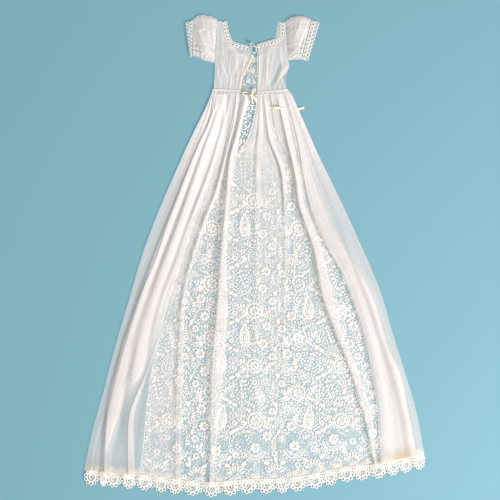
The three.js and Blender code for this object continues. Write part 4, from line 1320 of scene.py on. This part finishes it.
# Bodice: its side and its neck or opening at a height, which "down" holds with its sign turned
BACK_LEFT = {
    "down": [-562, -541, -520, -505, -498, -493, -488, -474, -460, -445, -426, -401],
    "side": [-88.9, -90.1, -91.4, -92.4, -92.8, -93.2, -93.5, -94.4, -95.3, -95, -96, -97.2],
    "inner": [-78, -74.4, -68.4, -56.4, -39.6, -20.4, -9.4, -3, -10.5, -18, -28.8, -32.4],
}
BACK_RIGHT = {
    "down": [-561, -546, -524, -512, -505, -500, -495, -470, -454, -436, -429, -412, -401],
    "side": [75.6, 76.2, 77.4, 78, 78.4, 78.7, 79, 80.2, 84, 76, 67, 73.5, 75.6],
    "inner": [72, 72, 69.6, 58.8, 37.2, 20.4, 8.2, 6, 6, 6, 6, 6, 6.5],
}
FRONT = {
    "down": [-562, -534, -503, -479, -467, -460, -440, -401],
    "left": [-88.9, -91, -92.6, -94.2, -95, -95.3, -94.9, -97.2],
    "right": [75.6, 77, 78.4, 79.6, 80.4, 82, 77, 75.6],
}
FRONT_NECK = {
    "x": [-78, -73.2, -63.6, -44.4, -20.4, 3.6, 27.6, 49.2, 62.4, 68.4],
    "y": [562, 534, 503, 479, 467, 465.6, 474, 498, 527, 561],
}


# Creases of the net backs: from and to in X and Y, width and height, troughs below zero
CREASES_LEFT = [
    (-86, 474, -62, 412, 4, 1.1), (-70, 486, -54, 404, 2.6, 0.7), (-46, 488, -41, 404, 3.2, 0.9),
    (-22, 486, -34, 416, 2.4, 1.1), (-90, 455, -85, 403, 3, 0.8), (-60, 502, -68, 436, 3, -0.6),
    (-80, 540, -76, 480, 3, 0.8), (-34, 470, -50, 420, 3, -0.6),
]
CREASES_RIGHT = [
    (12, 494, 9, 400, 2, 1.3), (22, 496, 18, 412, 2.6, -0.9), (32, 500, 27, 406, 3, 1.2),
    (46, 502, 38, 436, 3.4, 0.9), (78, 462, 46, 404, 4.2, 1.7), (68, 474, 36, 402, 4, -1.3),
    (70, 430, 54, 400, 3, 1.0), (58, 508, 66, 452, 4, 1.0), (74, 545, 73, 482, 2.6, 0.9),
]
# Patches where the backs lie flat and let more through: middle, reach and share less
SHEER_LEFT = [(-38, 490, 20, 7, 0.4), (-93, 430, 10, 40, 0.35), (-72, 508, 9, 9, 0.25)]
SHEER_RIGHT = [(60, 416, 16, 16, 0.5), (50, 462, 14, 20, 0.25), (28, 488, 10, 9, 0.3)]
DIP_LEFT = 3  # how much lower the waist seam lies at the opening than at the side
DIP_RIGHT = 8.5
BODICE_END = 401  # lower edge of the bodice
LACE_SCALE = 0.36  # lace of the bodice against the skirt's
LACE_MIDDLE = (-6, 432)
LACE_SPAN = (-46, 34)  # the lace shows in the opening alone
TAPE_TOP = 482
TAPE_WIDTH = 5.5


def row_table(table, column, y):
    """Column of a bodice table at a height, in straight stretches."""
    return float(np.interp(-y, table["down"], table[column]))


class GOWN_OT_bodice(bpy.types.Operator):
    """Makes the lace and net front bodice, the gathered net backs and the back tape"""

    bl_idname = "gown.bodice"
    bl_label = "Bodice"

    def execute(self, context):
        self.add_front()
        self.add_back("bodice_net_left", BACK_LEFT, "bodice_back_left", CREASES_LEFT, SHEER_LEFT,
                      DIP_LEFT)
        self.add_back("bodice_net_right", BACK_RIGHT, "bodice_back_right", CREASES_RIGHT, SHEER_RIGHT,
                      DIP_RIGHT)
        self.add_tape()
        return {"FINISHED"}

    def add_front(self):
        """Front net with lace motifs over its middle."""
        columns, rows = 60, 50
        points, veils = [], []
        for j in range(rows + 1):
            for i in range(columns + 1):
                u, v = i / columns, j / rows
                base = mix(-97, 77, u)
                top = float(np.interp(base, FRONT_NECK["x"], FRONT_NECK["y"], left=562, right=561))
                y = mix(top, BODICE_END, v)
                x = mix(row_table(FRONT, "left", y), row_table(FRONT, "right", y), u)
                points.append((x, y, UNDER_REST))
                veils.append(0.9 + 0.2 * math.sin(70 * u))
        net = add_piece("bodice_front_net", points, grid_faces(columns, rows), "net",
                        ["bodice_front"], {"veil": veils})

        self.add_motifs()

    def add_motifs(self):
        """The skirt's lace once more, smaller, where the opening shows it."""
        def inside(x, y, size):
            neck = float(np.interp(x, FRONT_NECK["x"], FRONT_NECK["y"]))
            return BODICE_END + 3 + size < y < neck - size and LACE_SPAN[0] < x < LACE_SPAN[1]

        work = LaceWork(flat_at(2 * UNDER_REST))
        for left, low, flip, _ in repeats(range(-2, 3), range(-2, 3)):
            for kind, mx, my, size, turn in MOTIFS:
                x = LACE_MIDDLE[0] + LACE_SCALE * (left + flip * mx)
                y = LACE_MIDDLE[1] + LACE_SCALE * (low - REPEAT_Y + my)
                if inside(x, y, 0.6 * size * LACE_SCALE):
                    stitch_motif(work, kind, x, y, size * LACE_SCALE, turn, flip)
        return work.sewn("bodice_front_motifs", "floral_lace", [])

    def add_back(self, name, table, node, creases, sheer, dip):
        """One gathered net back."""
        columns, rows = 150, 90
        top, bottom = -table["down"][0], -table["down"][-1]
        u = np.arange(columns + 1) / columns
        points, veils = [], []
        for j in range(rows + 1):
            v = j / rows
            y = mix(top, bottom, v)
            side, inner = row_table(table, "side", y), row_table(table, "inner", y)
            x = mix(side, inner, u)
            gather = folds(6 * u, y / 90, 2) * (0.3 + 0.7 * abs(2 * v - 1))
            crease = crease_rise(creases, x, y)
            soft = min(1, abs(inner - side) / 60)
            z = UPPER + SHEET_REST + soft * (0.9 + 0.35 * gather) + np.clip(crease, -0.9, 2)
            points.append(np.stack([x, y - dip * u * v ** 6, z], axis=-1))
            veils.append((3.0 + 0.5 * gather + 1.1 * crease) * thinner(sheer, x, y))
        points, veils = np.concatenate(points), np.clip(np.concatenate(veils), 0.4, 9)
        piece = add_piece(name, points, grid_faces(columns, rows), "net", [node],
                          {"veil": veils, "stain": 0.05})

    def add_tape(self):
        """Cream tape along the left back opening."""
        columns, rows = 6, 60
        points = []
        for j in range(rows + 1):
            y = mix(TAPE_TOP, BODICE_END, j / rows)
            inner = row_table(BACK_LEFT, "inner", min(y, 474))
            for i in range(columns + 1):
                u = i / columns
                lift = 0.3 * math.sin(math.pi * u) + 0.1 * math.sin(y / 5)
                points.append((inner - TAPE_WIDTH * (1 - u), y, UPPER + 2 * WALL + lift))
        tape = add_piece("opening_tape", points, grid_faces(columns, rows), "tape",
                         ["placket_tape_left"])


BORDER_PITCH = 9  # from one ring of a lace border to the next
NECK_DEPTH = 12
CUFF_DEPTH = 20
CUFF_WIDTH = 90  # cuff laid flat, from its upper to its lower edge
CUFF_RINGS = 24  # small rings in two rows of the cuff's lace

# Necklines from the shoulder to the opening
NECK_LEFT = [(-78, 561.5), (-74.4, 541), (-68.4, 520), (-56.4, 505), (-39.6, 498), (-20.4, 493),
             (-9.8, 488.6)]
NECK_RIGHT = [(8.2, 495.3), (20.4, 500), (37.2, 505), (58.8, 512), (69.6, 524), (72, 546),
              (72, 560.5)]
NECK_FRONT = [(-78, 562.5), (-73.2, 534), (-63.6, 503), (-44.4, 479), (-20.4, 467), (3.6, 465.6),
              (27.6, 474), (49.2, 498), (62.4, 527), (68.4, 561)]


def flat_curve(points, steps=8):
    """A smooth flat curve through points, as an evenly spaced line."""
    line = smooth_route([(x * MM, y * MM, 0) for x, y in points], steps)[:, :2]
    lengths = np.concatenate([[0], np.cumsum(np.hypot(*np.diff(line, axis=0).T))])
    even = np.linspace(0, lengths[-1], 200)
    return np.stack([np.interp(even, lengths, line[:, 0]), np.interp(even, lengths, line[:, 1])],
                    axis=-1), float(lengths[-1])


def lace_border(lay, length, depth):
    """A narrow needle lace: footing, crossed bars, and rings with pads and picots at its edge."""
    work = LaceWork(lay)
    count = max(3, round(length / BORDER_PITCH))
    pitch = length / count
    for y, width in ((0.1, 2.2), (0.48, 1.7)):
        footing = [(length * k / (2 * count), y * depth) for k in range(2 * count + 1)]
        work.strip(footing, width)
    for k in range(count):
        x = (k + 0.5) * pitch
        for side in (-0.42, 0.42):
            bar = [(x + side * pitch, 0.1 * depth), (x, 0.29 * depth), (x - side * pitch, 0.48 * depth)]
            work.strip(bar, 1.6)
        loop = oval(0.48 * depth, 0.93 * depth, 0.4 * pitch, 12)
        work.strip([(x + v, u) for u, v in loop], 2.1, closed=True)
        work.pad([(x + u, 0.7 * depth + v) for u, v in circle(0.15 * pitch, 6)])
        for side in (-0.22, 0.0, 0.22):
            tip = (0.98 - 0.5 * abs(side)) * depth
            work.pad([(x + side * pitch + u, tip + v) for u, v in circle(0.11 * pitch, 5)])
    return work


class GOWN_OT_neck_lace(bpy.types.Operator):
    """Sews the picot lace round the neckline"""

    bl_idname = "gown.neck_lace"
    bl_label = "Neck lace"

    def execute(self, context):
        necks = [
            ("neck_lace_left", NECK_LEFT, UPPER + EDGING_REST, "neck_edging_back_left"),
            ("neck_lace_right", NECK_RIGHT, UPPER + EDGING_REST, "neck_edging_back_right"),
            ("neck_lace_front", NECK_FRONT, UNDER_REST, "neck_edging_front"),
        ]
        for name, route, z, node in necks:
            line, length = flat_curve(route)
            ahead = headings(line)
            places = np.linspace(0, length, len(line))

            def lay(x, y):
                px, py = np.interp(x, places, line[:, 0]), np.interp(x, places, line[:, 1])
                ax, ay = np.interp(x, places, ahead[:, 0]), np.interp(x, places, ahead[:, 1])
                return px - ay * y, py + ax * y, z + 0 * x

            edging = lace_border(lay, length, NECK_DEPTH).sewn(name, "edging_lace", [node], 0.12)
        return {"FINISHED"}


SLEEVE_STATIONS = 5
# Sleeves from armhole to cuff: both turned edges of the flat tube and the height of its puff
SLEEVE_LEFT = {
    "at": [0, 1, 2, 3, 4, 5],
    "topX": [-89.3, -100, -113, -127, -139, -147], "topY": [565, 572.5, 576.5, 577.5, 574, 566],
    "bottomX": [-95.8, -108, -121, -132, -142, -149],
    "bottomY": [461.5, 465.5, 468.5, 473, 477, 480], "puff": [4, 8, 10, 9, 6, 4],
}
SLEEVE_RIGHT = {
    "at": [0, 1, 2, 3, 4, 5],
    "topX": [76.2, 84, 97, 110, 124, 136], "topY": [563.5, 569, 574, 575, 572, 566],
    "bottomX": [81, 89, 95, 101, 107, 112],
    "bottomY": [468.5, 470, 470.5, 470, 469.8, 469.5], "puff": [4, 9, 12, 12, 9, 5],
}
CUFF_LEFT = {"at": [0, 1], "topX": [-147.4, -167], "topY": [566, 559.5],
             "bottomX": [-149.4, -155], "bottomY": [480, 475], "puff": [4.4, 4]}
CUFF_RIGHT = {"at": [0, 1], "topX": [136.4, 157.4], "topY": [566, 559.5],
              "bottomX": [112.4, 129], "bottomY": [469.5, 466.8], "puff": [5, 3.4]}
TUBE_EDGE = 2 * WALL + SEAM
# Creases of the sleeves: from and to in X and Y, width and height, troughs below zero
SLEEVE_CREASES = {
    "sleeve_left": [
        (-142, 556, -114, 492, 3.6, 1.3), (-130, 573, -106, 520, 3.4, 1.1), (-122, 500, -96, 476, 4, 1.3),
        (-146, 522, -126, 484, 3.6, -1.0), (-110, 562, -98, 500, 3, -0.9), (-138, 536, -118, 548, 4, 0.8),
        (-104, 545, -93, 498, 2.6, 1.1), (-134, 500, -120, 478, 3, 1.0), (-120, 566, -116, 530, 3, -0.7),
    ],
    "sleeve_right": [
        (130, 558, 104, 500, 3.6, 1.2), (114, 572, 96, 520, 3.4, 1.1), (106, 502, 86, 478, 4, 1.2),
        (120, 530, 108, 484, 3.6, -1.0), (94, 562, 84, 504, 3, -0.9), (124, 540, 104, 548, 4, 0.8),
        (90, 545, 82, 500, 2.6, 1.0), (114, 510, 98, 474, 3, 1.0), (104, 564, 100, 532, 3, -0.7),
    ],
}
SLEEVE_STATION = 11.5  # from one station of a sleeve to the next
SLEEVE_DEPTH = 95  # sleeve laid flat, from its lower to its upper edge
# Flowers of a sleeve: along it, up from its lower edge, and size
SLEEVE_FLOWERS = [(51, 9, 5.6), (40, 9, 5.0), (29, 9, 4.6), (51.5, 21, 5.2), (41, 20, 4.4),
                  (52.5, 32, 4.4), (20, 8, 3.6), (31, 19, 3.4), (53.5, 42, 3.4)]


def tube_point(table, s, q, under):
    """A point of a flat tube: station s, share q from its lower to its upper edge."""
    top = [lookup(table, "at", column, s) for column in ("topX", "topY")]
    bottom = [lookup(table, "at", column, s) for column in ("bottomX", "bottomY")]
    x, y = mix(bottom[0], top[0], q), mix(bottom[1], top[1], q)
    round_edge = np.clip(np.sin(np.pi * q), 0, 1) ** 0.5
    high = mix(TUBE_EDGE / 2 + 0.1, lookup(table, "at", "puff", s), round_edge)
    low = mix(TUBE_EDGE / 2, 0.2, np.clip(4 * round_edge, 0, 1))
    return x, y, low if under else high


class GOWN_OT_sleeves(bpy.types.Operator):
    """Makes the short puffed sleeves, laid flat as tubes"""

    bl_idname = "gown.sleeves"
    bl_label = "Sleeves"

    def execute(self, context):
        for name, table, node in (("sleeve_net_left", SLEEVE_LEFT, "sleeve_left"),
                                  ("sleeve_net_right", SLEEVE_RIGHT, "sleeve_right")):
            points, veils, faces = self.puffed_tube(table, SLEEVE_CREASES[node])
            piece = add_piece(name, points, faces, "net", [node],
                              {"veil": veils, "stain": 0.05})
            self.add_motifs(name, table)
        return {"FINISHED"}

    def puffed_tube(self, table, creases):
        """Points, veil and faces of a sleeve: round each section over its top and back below."""
        side, rows = 120, 40
        upper_q = 1 - np.arange(side) / side
        under_q = np.arange(side) / side
        points, veils = [], []
        for j in range(rows + 1):
            s = SLEEVE_STATIONS * j / rows
            ends = 0.35 + 0.65 * abs(2 * s / SLEEVE_STATIONS - 1)
            for under, q in ((False, upper_q), (True, under_q)):
                x, y, z = tube_point(table, s, q, under)
                gather = folds(7 * q, 0.35 * s, 1)
                crease = crease_rise(creases, x, y)
                y = y + 9 * math.sin(5.5 * s) * np.clip(q - 0.9, 0, 1)  # a scalloped upper edge
                if not under:
                    edge = np.clip(6 * q * (1 - q), 0, 1)
                    z = z + edge * (0.3 * ends * gather + np.clip(crease, -0.9, 2))
                points.append(np.stack([x, y, z], axis=-1))
                # flowers stand out where the net is thinner, along the lower edge by the cuff
                lacy = np.exp(-(q / 0.3) ** 2) * min(1, max(0, (s - 1.5) / 2))
                veils.append((2.9 + 0.5 * ends * gather + 0.9 * crease) * (1 - 0.5 * lacy))
        size = 2 * side
        faces = [(j * size + i, (j + 1) * size + i, (j + 1) * size + (i + 1) % size,
                  j * size + (i + 1) % size) for j in range(rows) for i in range(size)]
        return np.concatenate(points), np.clip(np.concatenate(veils), 0.8, 9), faces

    def add_motifs(self, name, table):
        """Small stitched flowers in the lower corner by the cuff, and a row along the lower edge."""
        def lay(x, y):
            px, py, pz = tube_point(table, x / SLEEVE_STATION, np.clip(y / SLEEVE_DEPTH, 0, 1), False)
            return px, py, pz + 1.2

        work = LaceWork(lay)
        for x, y, size in SLEEVE_FLOWERS:
            stitch_motif(work, "daisy", x, y, size, 5 * x, 1)
        for k in range(16):
            work.pad([(8 + 3.2 * k + u, 3.4 + v) for u, v in circle(1.1, 6)])
        return work.sewn(name.replace("net", "motifs"), "net", [])


class GOWN_OT_cuffs(bpy.types.Operator):
    """Sews the lace bands of the cuffs"""

    bl_idname = "gown.cuffs"
    bl_label = "Cuffs"

    def execute(self, context):
        for name, table, node in (("cuff_border_left", CUFF_LEFT, "cuff_lace_left"),
                                  ("cuff_border_right", CUFF_RIGHT, "cuff_lace_right")):
            points, faces, undersides = [], [], set()
            for under in (True, False):
                work = self.band(table, under)
                base = len(points)
                points += work.laid().tolist()
                undersides |= {len(faces) + i for i in work.undersides}
                faces += [tuple(base + i for i in face) for face in work.faces]
            piece = add_piece(name, points, faces, "lace", [node], {"stain": 0.04},
                              undersides)
        return {"FINISHED"}

    def band(self, table, under):
        """One side of a cuff: the lace border with two rows of small rings near the sleeve."""
        def lay(x, y):
            return tube_point(table, y / CUFF_DEPTH, np.clip(x / CUFF_WIDTH, 0, 1), under)

        work = lace_border(lay, CUFF_WIDTH, CUFF_DEPTH)
        for k in range(CUFF_RINGS):
            x = CUFF_WIDTH * (k + 0.5) / CUFF_RINGS
            row = 3.4 if k % 2 else 7.4
            work.strip([(x + u, row + v) for u, v in circle(2.1, 7)], 1.0, closed=True)
        return work


OPERATORS = [GOWN_OT_stage, GOWN_OT_ties, GOWN_OT_skirt_front, GOWN_OT_skirt_back,
             GOWN_OT_hem_lace, GOWN_OT_waist, GOWN_OT_bodice, GOWN_OT_neck_lace,
             GOWN_OT_sleeves, GOWN_OT_cuffs]


class GOWN_PT_tools(bpy.types.Panel):
    """Lists the steps that make the gown"""

    bl_idname = "GOWN_PT_tools"
    bl_label = "Christening gown"
    bl_space_type = "VIEW_3D"
    bl_region_type = "UI"
    bl_category = "Gown"

    def draw(self, context):
        for group in (context.scene.gown_cloth, context.scene.gown_stage):
            for name in group.__annotations__:
                self.layout.prop(group, name)
        for operator in OPERATORS:
            self.layout.operator(operator.bl_idname)


CLASSES = [GownCloth, GownStage, *OPERATORS, GOWN_PT_tools]


def register():
    for item in CLASSES:
        bpy.utils.register_class(item)
    bpy.types.Scene.gown_cloth = bpy.props.PointerProperty(type=GownCloth)
    bpy.types.Scene.gown_stage = bpy.props.PointerProperty(type=GownStage)


def unregister():
    del bpy.types.Scene.gown_stage
    del bpy.types.Scene.gown_cloth
    for item in reversed(CLASSES):
        bpy.utils.unregister_class(item)


def main():
    """Registers the add-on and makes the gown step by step."""
    register()
    for operator in OPERATORS:
        group, name = operator.bl_idname.split(".")
        getattr(getattr(bpy.ops, group), name)()


if __name__ == "__main__":
    main()
